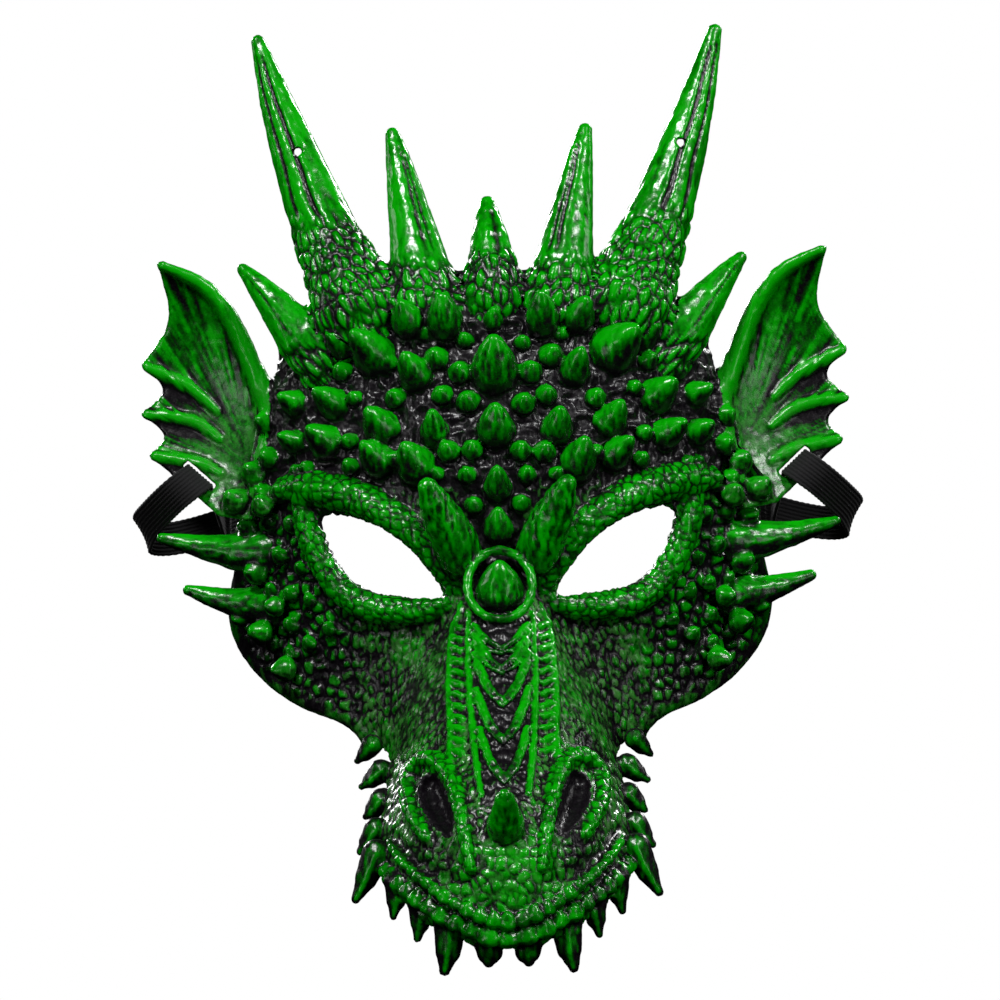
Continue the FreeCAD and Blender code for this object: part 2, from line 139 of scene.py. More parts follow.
def front_surface(x, z):
    """y of the moulding's plain outer face, as seen from the front."""
    x = np.asarray(x, float)
    z = np.asarray(z, float)
    head = at_height(HEAD_FRONT, z) + HEAD_DEPTH * (1 - np.sqrt(np.clip(1 - (x / HEAD_HALF) ** 2, 0, 1)))
    half = at_height(SNOUT_HALF, z)
    side = np.clip(1 - (x / half) ** 2, 0, 1)
    snout = at_height(SNOUT_FRONT, z) + SNOUT_DEPTH * (1 - np.sqrt(side))
    return np.where((np.abs(x) < half) & (z < 10), np.minimum(head, snout), head)


def path_through(points, per_span=6):
    """A smooth open line through points, which may carry more numbers than their place."""
    points = np.array(points, float)
    ends = np.vstack([2 * points[0] - points[1], points, 2 * points[-1] - points[-2]])
    out = []
    for index in range(1, len(ends) - 2):
        before, start, end, after = ends[index - 1:index + 3]
        for t in np.arange(per_span) / per_span:
            out.append(0.5 * (2 * start + (end - before) * t
                              + (2 * before - 5 * start + 4 * end - after) * t * t
                              + (3 * start - before - 3 * end + after) * t ** 3))
    out.append(points[-1])
    return np.array(out)


def distances_along(line):
    """How far along a line of points each one is."""
    steps = np.linalg.norm(np.diff(line[:, :3], axis=0), axis=1)
    return np.concatenate([[0], np.cumsum(steps)])


def loop_through(points, per_span=6):
    """A smooth closed outline through the points."""
    points = list(points)
    line = path_through(points[-2:] + points + points[:2], per_span)
    return line[2 * per_span:-2 * per_span + per_span - 1][:len(points) * per_span]


def outline_distance(outline, x, z):
    """Signed distance in the front view, negative inside a closed outline."""
    best = np.full(np.broadcast(x, z).shape, 1e9)
    inside = np.zeros(best.shape, bool)
    for (ax, az), (bx, bz) in zip(outline, np.roll(outline, -1, axis=0)):
        ex, ez = bx - ax, bz - az
        t = np.clip(((x - ax) * ex + (z - az) * ez) / (ex * ex + ez * ez + 1e-9), 0, 1)
        best = np.minimum(best, (x - ax - t * ex) ** 2 + (z - az - t * ez) ** 2)
        inside ^= ((az > z) != (bz > z)) & (x < (bx - ax) * (z - az) / (bz - az + 1e-12) + ax)
    return np.sqrt(best) * np.where(inside, -1, 1)


def flip(points, sign):
    return [(sign * row[0],) + tuple(row[1:]) for row in points]


def both_sides(points):
    return points + [(-x, z) for x, z in reversed(points) if x > 0]


def ramp(value, low, high):
    """From 0 at low to 1 at high, eased."""
    t = np.clip((value - low) / (high - low), 0, 1)
    return t * t * (3 - 2 * t)


# ---- the field ----
LOW = np.array([-131.0, -100.0, -151.0])
HIGH = np.array([131.0, 62.0, 191.0])
FAR = 6.0
axes = [np.arange(LOW[i], HIGH[i] + VOXEL, VOXEL, dtype=np.float32) for i in range(3)]
field = np.full([len(axis) for axis in axes], FAR, dtype=np.float32)
owner = np.zeros(field.shape, dtype=np.uint8)


def window(low, high):
    """The slice of the grid between two corners, with its coordinates ready to broadcast."""
    slices = []
    for axis, start, end in zip(axes, low, high):
        first = int(np.clip(np.searchsorted(axis, start), 0, len(axis) - 1))
        last = int(np.clip(np.searchsorted(axis, end), first + 1, len(axis)))
        slices.append(slice(first, last))
    x = axes[0][slices[0]][:, None, None]
    y = axes[1][slices[1]][None, :, None]
    z = axes[2][slices[2]][None, None, :]
    return tuple(slices), x, y, z


def plan_distance(outline, x, z):
    return outline_distance(outline, x[:, 0], z[0]).astype(np.float32)[:, None, :]


def soft_min(a, b, ease):
    """The smaller of two, rounded over where they are within ease of each other."""
    blend = np.clip(1 - np.abs(a - b) / ease, 0, None)
    return np.minimum(a, b) - blend * blend * (ease / 4)


def soft_max(a, b, ease):
    return -soft_min(-a, -b, ease)


def add(part, distance, ease, name):
    """Join a shape to the foam in its slice of the grid, and mark its voxels as that feature's."""
    values = field[part]
    marks = owner[part]
    marks[distance < values - 0.2] = FEATURES.index(name)
    values[...] = soft_min(values, distance, ease)


def carve(part, distance, ease):
    values = field[part]
    values[...] = soft_max(values, -distance, ease)


def carve_through(part, plan, y, ease):
    """Cut a hole of one front-view shape right through, fore and aft."""
    carve(part, plan + 0 * y, ease)


def rod(x, y, z, start, end, start_radius, end_radius):
    """Distance to a rod with rounded ends whose radius changes along it."""
    sx, sy, sz = start
    ex, ey, ez = np.subtract(end, start)
    length = ex * ex + ey * ey + ez * ez + 1e-9
    t = np.clip(((x - sx) * ex + (y - sy) * ey + (z - sz) * ez) / length, 0, 1)
    radius = start_radius + (end_radius - start_radius) * t
    return np.sqrt((x - sx - t * ex) ** 2 + (y - sy - t * ey) ** 2 + (z - sz - t * ez) ** 2) - radius


def path_distance(points, x, y, z, flatten=1.0):
    """Distance to a rod along (x, y, z, radius) points. flatten under 1 makes it thinner fore and aft."""
    points = np.array(points, float)
    points[:, 1] /= flatten
    best = None
    for start, end in zip(points, points[1:]):
        distance = rod(x, y / flatten, z, start[:3], end[:3], start[3], end[3])
        best = distance if best is None else np.minimum(best, distance)
    return best * min(flatten, 1.0)


def near_points(points):
    points = np.asarray(points, float)
    reach = points[:, 3].max() + FAR
    return window(points[:, :3].min(0) - reach, points[:, :3].max(0) + reach)


def add_path(name, points, ease, flatten=1.0):
    part, x, y, z = near_points(points)
    add(part, path_distance(points, x, y, z, flatten), ease, name)


def carve_path(points, ease, dark_below):
    """Cut a groove along points, and mark what is nearer than dark_below as unpainted."""
    part, x, y, z = near_points(points)
    distance = path_distance(points, x, y, z)
    owner[part][distance < dark_below] = FEATURES.index("nostril")
    carve(part, distance, ease)


def surface_path(points, lift=0.0, per_span=6):
    """Points (x, z, radius) laid on the moulding's front face."""
    line = path_through(points, per_span)
    y = front_surface(line[:, 0], line[:, 1]) - lift
    return np.column_stack([line[:, 0], y, line[:, 1], line[:, 2]])


def bullet_distance(x, y, z, centre, direction, length, radius):
    """Distance to an egg shape that narrows towards its tip."""
    direction = np.array(direction, float)
    direction /= np.linalg.norm(direction)
    dx, dy, dz = x - centre[0], y - centre[1], z - centre[2]
    along = dx * direction[0] + dy * direction[1] + dz * direction[2]
    square = dx * dx + dy * dy + dz * dz - along * along
    wide = radius * (1 - 0.4 * np.clip(along / length, 0, 1))
    length = np.where(along < 0, 0.7 * length, length)
    reach = np.sqrt(np.maximum(square, 0) / wide ** 2 + (along / length) ** 2) + 1e-6
    steep = np.sqrt(np.maximum(square, 0) / wide ** 4 + along ** 2 / length ** 4) / reach + 1e-6
    return (reach - 1) / steep


def add_bullet(name, centre, direction, length, radius, ease=1.5):
    reach = max(length, radius) + FAR
    centre = np.array(centre, float)
    part, x, y, z = window(centre - reach, centre + reach)
    add(part, bullet_distance(x, y, z, centre, direction, length, radius), ease, name)


# ---- head and snout ----

def oval_form(x, y, z, front, half, depth):
    """Distance to a stack of level ovals."""
    heights = z.ravel()
    front = at_height(front, heights)
    half = at_height(half, heights) if isinstance(half, np.ndarray) else np.full(len(heights), half)
    centre = (front + depth).astype(np.float32)
    half = half.astype(np.float32)
    lean = (np.gradient(centre, heights) / depth).astype(np.float32)
    swell = (np.gradient(half, heights) / half).astype(np.float32)
    across = x / half[None, None, :]
    along = (y - centre[None, None, :]) / np.float32(depth)
    reach = np.sqrt(across ** 2 + along ** 2) + np.float32(1e-6)
    rise = across ** 2 * swell[None, None, :] + along * lean[None, None, :]
    steep = np.sqrt((across / half[None, None, :]) ** 2 + (along / np.float32(depth)) ** 2 + rise ** 2)
    return (reach - 1) * reach / (steep + np.float32(1e-6))


def mouth_distance(y, z):
    """Negative in what the open mouth takes away."""
    along = np.subtract(MOUTH_CORNER, MOUTH_FRONT)
    along /= np.linalg.norm(along)
    above_line = (z - MOUTH_CORNER[1]) * along[0] - (y - MOUTH_CORNER[0]) * along[1]
    return np.maximum(above_line, z - MOUTH_CORNER[1])


def base_form():
    """The joined head and snout, trimmed to the outline, hollowed and open at the mouth."""
    part, x, y, z = window(LOW, (HIGH[0], HIGH[1], 126))
    head = oval_form(x, y, z, HEAD_FRONT, HEAD_HALF, HEAD_DEPTH)
    snout = oval_form(x, y, z, SNOUT_FRONT, SNOUT_HALF, SNOUT_DEPTH)
    snout = np.maximum(snout, (z - 8) * np.float32(0.9))
    marks = owner[part]
    marks[snout < head + 1] = FEATURES.index("snout")
    solid = soft_min(head, snout, 9.0)
    outline = plan_distance(loop_through(both_sides(OUTLINE_HALF)), x, z)
    mouth = mouth_distance(y, z)
    values = soft_max(solid, outline, 3.0)
    values = soft_max(values, -mouth, 2.5)
    hollow = solid + np.float32(WALL)
    field[part] = soft_max(values, -hollow, 1.5)
    return part, hollow, outline


# ---- raised features of the face ----
BROW = [
    (75, 25.5, 3.5), (66, 25.5, 5.6), (57, 23.5, 6.3), (47, 20.3, 6.3), (36.3, 13.7, 6), (27.6, 6.4, 5.5),
    (22.2, -1, 5), (16, -8.5, 4.2), (13.5, -12, 3.2),
]
UNDER_EYE = [
    (68, 21, 4), (66.5, 12, 5), (63, 2, 5), (56, -9.5, 5), (46, -16.5, 5), (34, -18.2, 4.8),
    (23, -17.3, 4.3), (15, -14.5, 3.4),
]
BROW_SPIKE = [
    (13.5, -8, 1, 7.6), (15.5, -10.5, 6, 8.0), (18.8, -14, 13, 7.2), (22, -18, 19.5, 5.4),
    (24.2, -21, 24.6, 3.4),
]


def add_brows():
    for side, sign in SIDES:
        add_path("brow_ring", surface_path(flip(BROW, sign), 0.4), 2.5)
        add_path("brow_ring", surface_path(flip(UNDER_EYE, sign), 0.2), 2.5)
        add_path("brow_spike_" + side, flip(BROW_SPIKE, sign), 2.0)


NOSE_RING = [
    (11.4 * math.sin(angle), -16.2 + 5.6 * math.cos(angle), -10 + 12 * math.cos(angle), 1.6)
    for angle in np.arange(0, 6.3, 0.26)
]
# (x, z, radius) of the ridges down each side of the nose
NOSE_RAILS = [
    ([(13.5, -17, 1.2), (17.2, -28, 1.3), (18.4, -45, 1.4), (18.2, -60, 1.4), (18.6, -70, 1.4)], 0.7, 1.5),
    ([(11, -20, 1.1), (11.6, -38, 1.2), (11, -55, 1.2), (9.8, -70, 1.2), (8.2, -82, 1.0)], 0.8, 1.2),
]
NOSE_SPIKE = [(0, -73, -95, 7.0), (0, -79, -91, 6.2), (0, -86, -84, 3.6), (0, -88, -82, 2.2)]
# the height of each chevron's point, how far its arms rise, and how far out they reach
CHEVRONS = [(-32, 8, 11), (-39, 12, 11.3), (-50, 16, 11.2), (-63, 17, 10.8), (-76.5, 17, 9.8)]
RUNGS = 12
RUNG_TOP = -24
RUNG_STEP = 3.9


def add_chevron(sign, apex, rise, arm):
    """One arm of a doubled chevron."""
    for drop, thick in ((0, 1.0), (3.2, 0.75)):
        branch = [(0, apex - drop * 0.5, 0.9 * thick), (arm * 0.45, apex + rise * 0.4 - drop, 1.1 * thick),
                  (arm * 0.85, apex + rise - drop, 1.35 * thick)]
        add_path("nose_ridge", surface_path(flip(branch, sign), 1.4, 3), 0.5)


def add_nose():
    """The knob between the eyes and its ring, the ridges with their rungs, and the chevrons between them."""
    add_path("nose_ridge", NOSE_RING, 0.8)
    add_bullet("nose_knob", (0, -14.5, -12), (0, -0.55, 1), 12, 8.6, 0.6)
    for sign in (-1, 1):
        for rail, lift, ease in NOSE_RAILS:
            add_path("nose_ridge", surface_path(flip(rail, sign), lift), ease)
    for apex, rise, arm in CHEVRONS:
        for sign in (-1, 1):
            add_chevron(sign, apex, rise, arm)
    for step in range(RUNGS):
        for sign in (-1, 1):
            level = RUNG_TOP - RUNG_STEP * step
            rung = [(13.8, level - 0.8, 1.1), (16.6, level, 1.4)]
            add_path("nose_ridge", surface_path(flip(rung, sign), 0.6, 1), 0.8)
    add_path("nose_spike", NOSE_SPIKE, 0.8)


# (x, z, radius) of the nostril's rim and of the pocket inside it
NOSTRIL_RIM = [
    (12.6, -107, 1.8), (14.6, -93, 2.2), (17.2, -80, 2.5), (21.5, -71.5, 3.2), (27.5, -70.5, 3.7),
    (32.5, -76, 3.8), (33, -84, 3.4), (30.5, -91, 2.8), (27.5, -96, 2.0),
]
NOSTRIL_POCKET = [(26.3, -78, 3.2), (25, -83, 4.2), (22.5, -88.5, 3.6), (20.2, -94.5, 1.6)]


def add_nostrils():
    """A rim and a blind pocket each, with foam behind the pocket so that it stays closed."""
    for sign in (-1, 1):
        add_path("nostril_rim", surface_path(flip(NOSTRIL_RIM, sign), 1.6), 2.5)
        line = surface_path(flip(NOSTRIL_POCKET, sign), 1.4)
        backing = line + (0, 5.5, 0, 0.8)
        part, x, y, z = near_points(backing)
        values = field[part]
        values[...] = soft_min(values, path_distance(backing, x, y, z), 3.0)
        carve_path(line, 1.5, 0.8)


# (x, z, radius) along the mouth's edge, and (number, height above the edge, size) of each row of scales
LIP_LINE = [
    (-44.5, -103, 2), (-41, -109, 2), (-32, -117, 2), (-18, -126, 2), (0, -131.5, 2),
    (18, -126, 2), (32, -117, 2), (41, -109, 2), (44.5, -103, 2),
]
LIP_ROWS = ((25, 0.2, 3.6), (29, 5.8, 2.7))
LIP_GROOVE = [(40, -95, 1.2), (33, -103, 2.2), (24, -109, 2.1), (14, -113, 1.0)]


def lip_row(line, count, rise, usual):
    """One row of blocky scales on a rope, larger in the middle of the mouth."""
    narrower = 1 - 0.02 * rise
    rope = line[::8].copy()
    rope[:, 0] *= narrower
    rope[:, 2] += rise
    rope[:, 1] = front_surface(rope[:, 0], rope[:, 2])
    rope[:, 3] = usual * 0.66
    add_path("front_lip", rope, 1.0)
    travelled = distances_along(line)
    for index in range(count):
        place = travelled[-1] * (index + 0.5) / count
        x, y, z = (np.interp(place, travelled, line[:, k]) for k in range(3))
        x *= narrower
        y = float(front_surface(x, z + rise))
        size = usual * (1.35 - 0.35 * float(ramp(abs(x), 7, 19))) + 0.3 * math.sin(index * 2.4)
        add_bullet("front_lip", (x, y - 0.2, z + rise), (0, -0.5, 0.9), size + 0.2, size, 0.8)


def add_lip():
    """Two rows of scales along the mouth's edge, and a dark groove above them."""
    line = surface_path(LIP_LINE, 0.0, 16)
    for count, rise, usual in LIP_ROWS:
        lip_row(line, count, rise, usual)
    for sign in (-1, 1):
        carve_path(surface_path(flip(LIP_GROOVE, sign), 0.8), 2.0, -0.7)


def add_teeth():
    for side, sign in SIDES:
        for root, tip, radius in TEETH:
            root, tip = flip([root, tip], sign)
            middle = [(a + b) / 2 for a, b in zip(root, tip)]
            middle[0] -= sign * 0.4
            blunt = 0.8 + 0.7 * (radius - 3.4)
            reach = math.dist(root, tip)
            tip = tuple(b - (b - a) / reach * (1.9 * blunt - 1.5) for a, b in zip(root, tip))
            points = [root + (radius * 1.15,), tuple(middle) + (radius * 0.88,), tip + (blunt,)]
            add_path("teeth_" + side, points, 1.2, 0.8)
            keel = [(x, y - r * 0.7, z, 1.1) for x, y, z, r in points]
            add_path("teeth_" + side, keel, 1.2)


# ---- horns and spikes ----
# (x, y, z, radius) from root to tip
OUTER_HORN = [
    (46.5, 20, 87, 17.5), (51, 24, 98, 14.6), (55.5, 27.5, 108, 12.6), (60.5, 32, 121, 10.9),
    (68, 37.5, 142, 8.5), (74.5, 42.5, 162, 5.8), (80.3, 47, 182.5, 2.6),
]
MID_HORN = [
    (23, 14, 88, 13), (24.8, 16.5, 99, 10.9), (26.6, 20, 110, 9), (29.5, 25, 126, 6.6),
    (32, 29, 140, 4.4), (33.8, 31.5, 148.5, 2.6),
]
CENTRE_HORN = [
    (0, 13, 90, 11), (0, 15.5, 100, 9.2), (-0.4, 18.5, 110, 6.8), (-1, 22, 119, 4.2),
    (-1.2, 24, 123.5, 2.6),
]
SIDE_SPIKE = [
    (60, 22, 68, 9), (67, 23, 77, 8.8), (75, 24.5, 88, 6.6), (82, 27, 96.5, 4.2), (87.3, 29.5, 102.5, 2.2),
]
CHEEK_SPIKES = [
    [(82, 38, 3, 8.5), (92, 39.5, 3.5, 6.6), (103, 41, 5.2, 4.4), (112, 42, 7.5, 3), (118.3, 42, 9, 2)],
    [(80, 39, -16, 7), (90, 42, -15, 5.6), (100, 43.5, -12.5, 3.8), (109.5, 44, -9.5, 2)],
]
# centre, length, radius, direction
CHEEK_KNOBS = [
    ((84, 35, -25), 5.5, 4.8, (1, -0.5, 0.2)), ((76, 30, -38), 5.5, 4.6, (1, -0.5, -0.1)),
    ((92, 30.5, 21.5), 5.6, 4.8, (0.6, -0.6, 0.6)), ((85, 34, -4), 5.6, 4.6, (1, -0.7, 0.2)),
    ((79, 29, -16), 4.6, 4, (1, -0.8, 0)), ((82.5, 26, 19.5), 5.2, 4.4, (0.4, -0.7, 0.6)),
    ((91, 41, -20), 4, 3, (1, -0.5, 0)), ((88, 36, 12), 4.6, 3.8, (1, -0.8, 0.3)),
    ((85.5, 31, 31), 5.4, 4.6, (0.5, -0.7, 0.6)),
]
# x, z, width
CHEEK_PEBBLES = [
    (76.5, 2, 7), (73, -11.5, 6.4), (80, -10, 5.6), (73.5, -22.5, 6.6), (80, 14, 7.6), (72.5, 13, 6.4),
    (66.5, -14, 5.6), (67, -29, 6.2), (80, -28.5, 7), (70, 31, 6.2), (76.5, 24, 6.8), (69.5, -2.5, 5.2),
    (86, -12, 6.4), (74, -32, 5.6), (60, -24, 5.6), (84, 5, 5.6),
]
# forehead spikes: x, z of the foot, z of the top, width
MIDLINE_SPIKES = [
    (0, 57, 77, 15), (0, 39, 53, 11.4), (0, 19.5, 31.5, 9.4), (0, 5, 16, 10.9), (0, 79.5, 86, 7.5),
]
SIDE_SPIKES = [
    (17, 77, 92, 11.6), (30.5, 77.5, 91, 8.2), (43, 64, 82, 15.5), (28.3, 58.5, 72.5, 11),
    (40.8, 41, 53.5, 12), (21.6, 39.5, 51, 11), (42.2, 29, 42.5, 11.4), (28.8, 25.5, 42, 9.8),
    (57.5, 49.5, 62, 13), (60.5, 36, 49, 12), (71, 51, 61, 9), (71.5, 37.5, 47.5, 9), (53, 69, 82, 8.4),
]
# forehead knobs: x, z, width
KNOBS = [
    (20, 69.5, 8.4), (12.6, 64.3, 8), (17.9, 56.3, 7), (10.2, 53.6, 7.8), (9.6, 75, 5.6), (35.7, 55.2, 7),
    (16.3, 36.4, 7.6), (9.1, 36.8, 7.2), (9.8, 28.3, 6.2), (9, 17.9, 6.2), (79, 36.5, 7.4), (81.5, 24, 7.4),
    (53, 66.4, 6.8), (49.5, 57, 5.4), (35.6, 45.6, 5), (35.4, 35.2, 5.4), (51.5, 41.5, 6), (51, 32.6, 6),
    (37, 68, 5.4), (23.6, 77.6, 5.2), (64, 64, 6.4), (81, 48, 6.4), (67, 31.6, 5.4), (20.5, 28.5, 5.2),
]


def add_horns():
    for side, sign in SIDES:
        add_path("side_spike_" + side, flip(SIDE_SPIKE, sign), 3.0, 0.85)
        add_path("outer_horn_" + side, flip(OUTER_HORN, sign), 4.0, 0.72)
        add_path("mid_horn_" + side, flip(MID_HORN, sign), 3.5, 0.78)
        for spike in CHEEK_SPIKES:
            add_path("cheek_spikes_" + side, flip(spike, sign), 3.0)
        for centre, length, radius, direction in CHEEK_KNOBS:
            centre, direction = flip([centre, direction], sign)
            add_bullet("cheek_spikes_" + side, centre, direction, length, radius)
        for x, z, width in CHEEK_PEBBLES:
            y = float(front_surface(x, z))
            add_bullet("cheek_spikes_" + side, (sign * x, y - 0.6, z), (sign * 0.5, -0.7, 0.5),
                       width * 0.6, width * 0.5)
    add_path("centre_horn", CENTRE_HORN, 3.5, 0.8)


def add_forehead():
    """Bullets that point up and out of the forehead, and the round knobs between them."""
    rows = MIDLINE_SPIKES + SIDE_SPIKES + flip(SIDE_SPIKES, -1)
    for count, (x, low, high, width) in enumerate(rows):
        length = 0.61 * math.hypot(width, high - low)
        radius = length * (0.56 + 0.05 * math.sin(count * 2.1))
        z = low + (high - low) * 0.4
        lean = math.radians(58) * float(ramp(abs(x), 4, 66)) * (1 if x > 0 else -1)
        lean += 0.12 * math.sin(count * 4.7) * (x != 0)
        x -= 0.1 * length * math.sin(lean)
        y = float(front_surface(x, z)) - 1.4 - 4.5 * float(ramp(z, 74, 84))
        add_bullet("forehead_spikes", (x, y, z),
                   (0.8 * math.sin(lean), -0.6, 0.8 * math.cos(lean)), length, radius)
    for count, (x, z, width) in enumerate(KNOBS + flip(KNOBS, -1)):
        x += 0.7 * math.sin(count * 3.3)
        z += 0.7 * math.sin(count * 5.9)
        y = float(front_surface(x, z))
        add_bullet("forehead_knobs", (x, y - 1.2, z), (x * 0.01, -0.8, 0.6),
                   width * 0.64, width * 0.55, 1.0)


# ---- ears ----
EAR_TIP = (117.5, 106)
EAR_POINTS = [(124, 70), (124.5, 53), (122, 38)]
EAR_HOLLOWS = [(114.3, 86), (117, 61), (117, 45)]
EAR_INNER = [(74, 58), (82.5, 66), (89, 82), (101, 97), EAR_TIP]
EAR_LOWER = [(98, 16), (86, 14)]
EAR_ROOT = (84, 30)
# (x, z, radius) of the rolled inner edge, and of each rib
EAR_ROLL = [
    (84.5, 25, 2.4), (81, 36, 3.2), (78.5, 50, 3.6), (83, 64, 3.4), (88.5, 78, 3.0), (95, 90.5, 2.6),
    (103, 98.5, 2.2), (115, 104.5, 1.5),
]
EAR_RIBS = [
    [(98, 53.5, 0.9), (105, 60, 1.8), (114, 65.5, 2.1), (122, 69, 1.6)],
    [(97, 43.5, 0.9), (105, 49.4, 1.8), (114, 51.6, 2.1), (122.5, 52.6, 1.6)],
    [(97, 31.5, 0.9), (103, 34.5, 1.8), (111, 36.3, 2.0), (120, 37.8, 1.5)],
]


def ear_edge():
    """The scalloped outer edge, from the tip down to the lowest point."""
    line = []
    start = EAR_TIP
    for hollow, point in zip(EAR_HOLLOWS, EAR_POINTS):
        line.extend(path_through([start, hollow, point], 10)[:-1].tolist())
        start = point
    line.append(start)
    return [tuple(place) for place in line]


def ear_surface(x, z, lift=0.0):
    """y of the ear's front face, on the hollow side of the ball."""
    radius = EAR_RADIUS - EAR_THICK / 2 - lift
    square = radius ** 2 - (np.abs(x) - EAR_CENTRE[0]) ** 2 - (z - EAR_CENTRE[2]) ** 2
    return EAR_CENTRE[1] + np.sqrt(np.maximum(square, 0))


def ear_path(points, sign, lift):
    line = path_through(points, 5)
    y = ear_surface(line[:, 0], line[:, 1], lift)
    return np.column_stack([sign * line[:, 0], y, line[:, 1], line[:, 2]])


def add_ears():
    """Each ear is a piece of a thin ball, cut to its outline, with ribs and a rolled inner edge."""
    outline = np.array(ear_edge() + EAR_LOWER + path_through(EAR_INNER, 5)[:-1].tolist())
    centre_x, centre_y, centre_z = EAR_CENTRE
    for side, sign in SIDES:
        name = "ear_" + side
        corners = sorted([sign * 68.0, sign * 128.0])
        part, x, y, z = window((corners[0], 10, 6), (corners[1], 56, 112))
        ball = np.sqrt((x - sign * centre_x) ** 2 + (y - centre_y) ** 2 + (z - centre_z) ** 2)
        sheet = np.abs(ball - EAR_RADIUS) - EAR_THICK / 2
        plan = plan_distance(outline * (sign, 1), x, z)
        add(part, soft_max(sheet, plan + 0.2, 1.6), 2.0, name)
        for rib in EAR_RIBS:
            add_path(name, ear_path(rib, sign, 0.2), 2.0)
        add_path(name, ear_path(EAR_ROLL, sign, 0.6), 3.0)
        cut_slot(sign)


def cut_slot(sign):
    """The slot that the strap goes through."""
    centre_x, centre_z, length, gap, slope = SLOT
    middle_x = sign * centre_x
    part, x, y, z = window((middle_x - 12, 25, centre_z - 12), (middle_x + 12, 55, centre_z + 12))
    turn = math.radians(slope)
    dx = x * sign - centre_x
    dz = z - centre_z
    along = np.abs(dx * math.cos(turn) + dz * math.sin(turn)) - length / 2
    across = np.abs(dz * math.cos(turn) - dx * math.sin(turn)) - gap / 2
    carve_through(part, np.maximum(along, across), y, 0.8)


def cut_eyes_and_holes():
    for _, sign in SIDES:
        outline = loop_through(flip(EYE, sign))
        corners = sorted([sign * 14.0, sign * 68.0])
        part, x, y, z = window((corners[0], -30, -22), (corners[1], 40, 24))
        carve_through(part, plan_distance(outline, x, z), y, 2.0)
        hole_x, hole_z, radius = HANG_HOLE
        part, x, y, z = window((sign * hole_x - 6, 15, hole_z - 6), (sign * hole_x + 6, 60, hole_z + 6))
        ring = np.sqrt((x - sign * hole_x) ** 2 + (z - hole_z) ** 2) - radius
        carve_through(part, ring, y, 0.6)


def build_field():
    """Fill the field, and give the distance to the hollow behind the face."""
    part, hollow, outline = base_form()
    add_brows()
    add_nose()
    add_lip()
    add_horns()
    add_forehead()
    add_teeth()
    add_ears()
    carve(part, np.maximum(hollow, outline + 3), 1.5)
    add_nostrils()
    cut_eyes_and_holes()
    return hollow


# ---- from field to mesh ----

def mesh_field():
    grid = openvdb.FloatGrid(background=FAR)
    grid.copyFromArray(field)
    points, quads = grid.convertToQuads(isovalue=0.0)
    places = np.asarray(points, float) * VOXEL + LOW
    quads = np.asarray(quads, int)
    a, b, c, d = (places[quads[:, k]] for k in range(4))
    turn = np.cross(c - a, d - b)
    volume = (turn * (a + b + c + d)).sum()
    if volume < 0:
        quads = quads[:, ::-1]
    return places, quads


def vertex_normals(places, quads):
    a, b, c, d = (places[quads[:, k]] for k in range(4))
    turn = np.cross(c - a, d - b)
    normals = np.zeros_like(places)
    for axis in range(3):
        for corner in range(4):
            normals[:, axis] += np.bincount(quads[:, corner], turn[:, axis], len(places))
    return normals / (np.linalg.norm(normals, axis=1, keepdims=True) + 1e-12)


def smooth_over(values, quads, rounds):
    """Each vertex's value, averaged with its neighbours'."""
    start = quads.ravel()
    end = np.roll(quads, -1, axis=1).ravel()
    count = np.bincount(start, minlength=len(values)) + np.bincount(end, minlength=len(values)) + 1
    for _ in range(rounds):
        total = values + np.bincount(start, values[end], len(values))
        total += np.bincount(end, values[start], len(values))
        values = total / count
    return values


def vertex_features(places, quads):
    """Which feature each vertex belongs to, with ragged edges evened out."""
    index = np.clip(np.round((places - LOW) / VOXEL).astype(int), 0, np.array(field.shape) - 1)
    marks = owner[index[:, 0], index[:, 1], index[:, 2]]
    share = np.stack([smooth_over((marks == k).astype(float), quads, 3) for k in range(len(FEATURES))])
    return share.argmax(0)


# ---- repeatable patterns ----

def scatter(cells, seed):
    """Three repeatable random numbers from 0 to 1 for each whole-number cell."""
    mixed = cells[:, 0] * 374761393 + cells[:, 1] * 668265263 + cells[:, 2] * 1274126177 + seed * 97531
    mixed = (mixed ^ (mixed >> 13)) * 1103515245
    mixed = mixed ^ (mixed >> 17)
    return np.stack([(mixed >> shift & 1023) / 1023 for shift in (0, 10, 20)], -1)


def cell_pattern(points, size, seed):
    """How far each point is from the nearest and the next of points strewn about, in cells."""
    scaled = points / size
    home = np.floor(scaled).astype(np.int64)
    first = np.full(len(points), 9.0)
    second = first.copy()
    for offset in itertools.product((-1, 0, 1), repeat=3):
        cell = home + offset
        random = scatter(cell, seed)
        distance = np.linalg.norm(cell + 0.15 + 0.7 * random - scaled, axis=1)
        closer = distance < first
        second = np.where(closer, first, np.minimum(second, distance))
        first = np.where(closer, distance, first)
    return first, second


def cloud(points, size, seed):
    """Smooth noise from -1 to 1."""
    scaled = points / size
    home = np.floor(scaled).astype(np.int64)
    part = scaled - home
    part = part * part * (3 - 2 * part)
    total = np.zeros(len(points))
    for offset in itertools.product((0, 1), repeat=3):
        weight = np.prod(np.where(np.array(offset) == 1, part, 1 - part), axis=1)
        total += weight * scatter(home + offset, seed)[:, 0]
    return total * 2 - 1


# ---- scales, grooves and paint ----
# Paint is green above about 0.4 and bare foam below. Scales keep their size where the face turns away.
NO_PAINT = -0.8
FLATTENED = np.array((1, 0.7, 1))


def scale_relief(points, size, seed, gap=0.28, stretch=(1, 1, 1)):
    """Rounded scales: 1 on top of each, 0 in the creases between."""
    first, second = cell_pattern(points / np.array(stretch), size, seed)
    return ramp(second - first, 0, gap) * (1 - 0.35 * first)


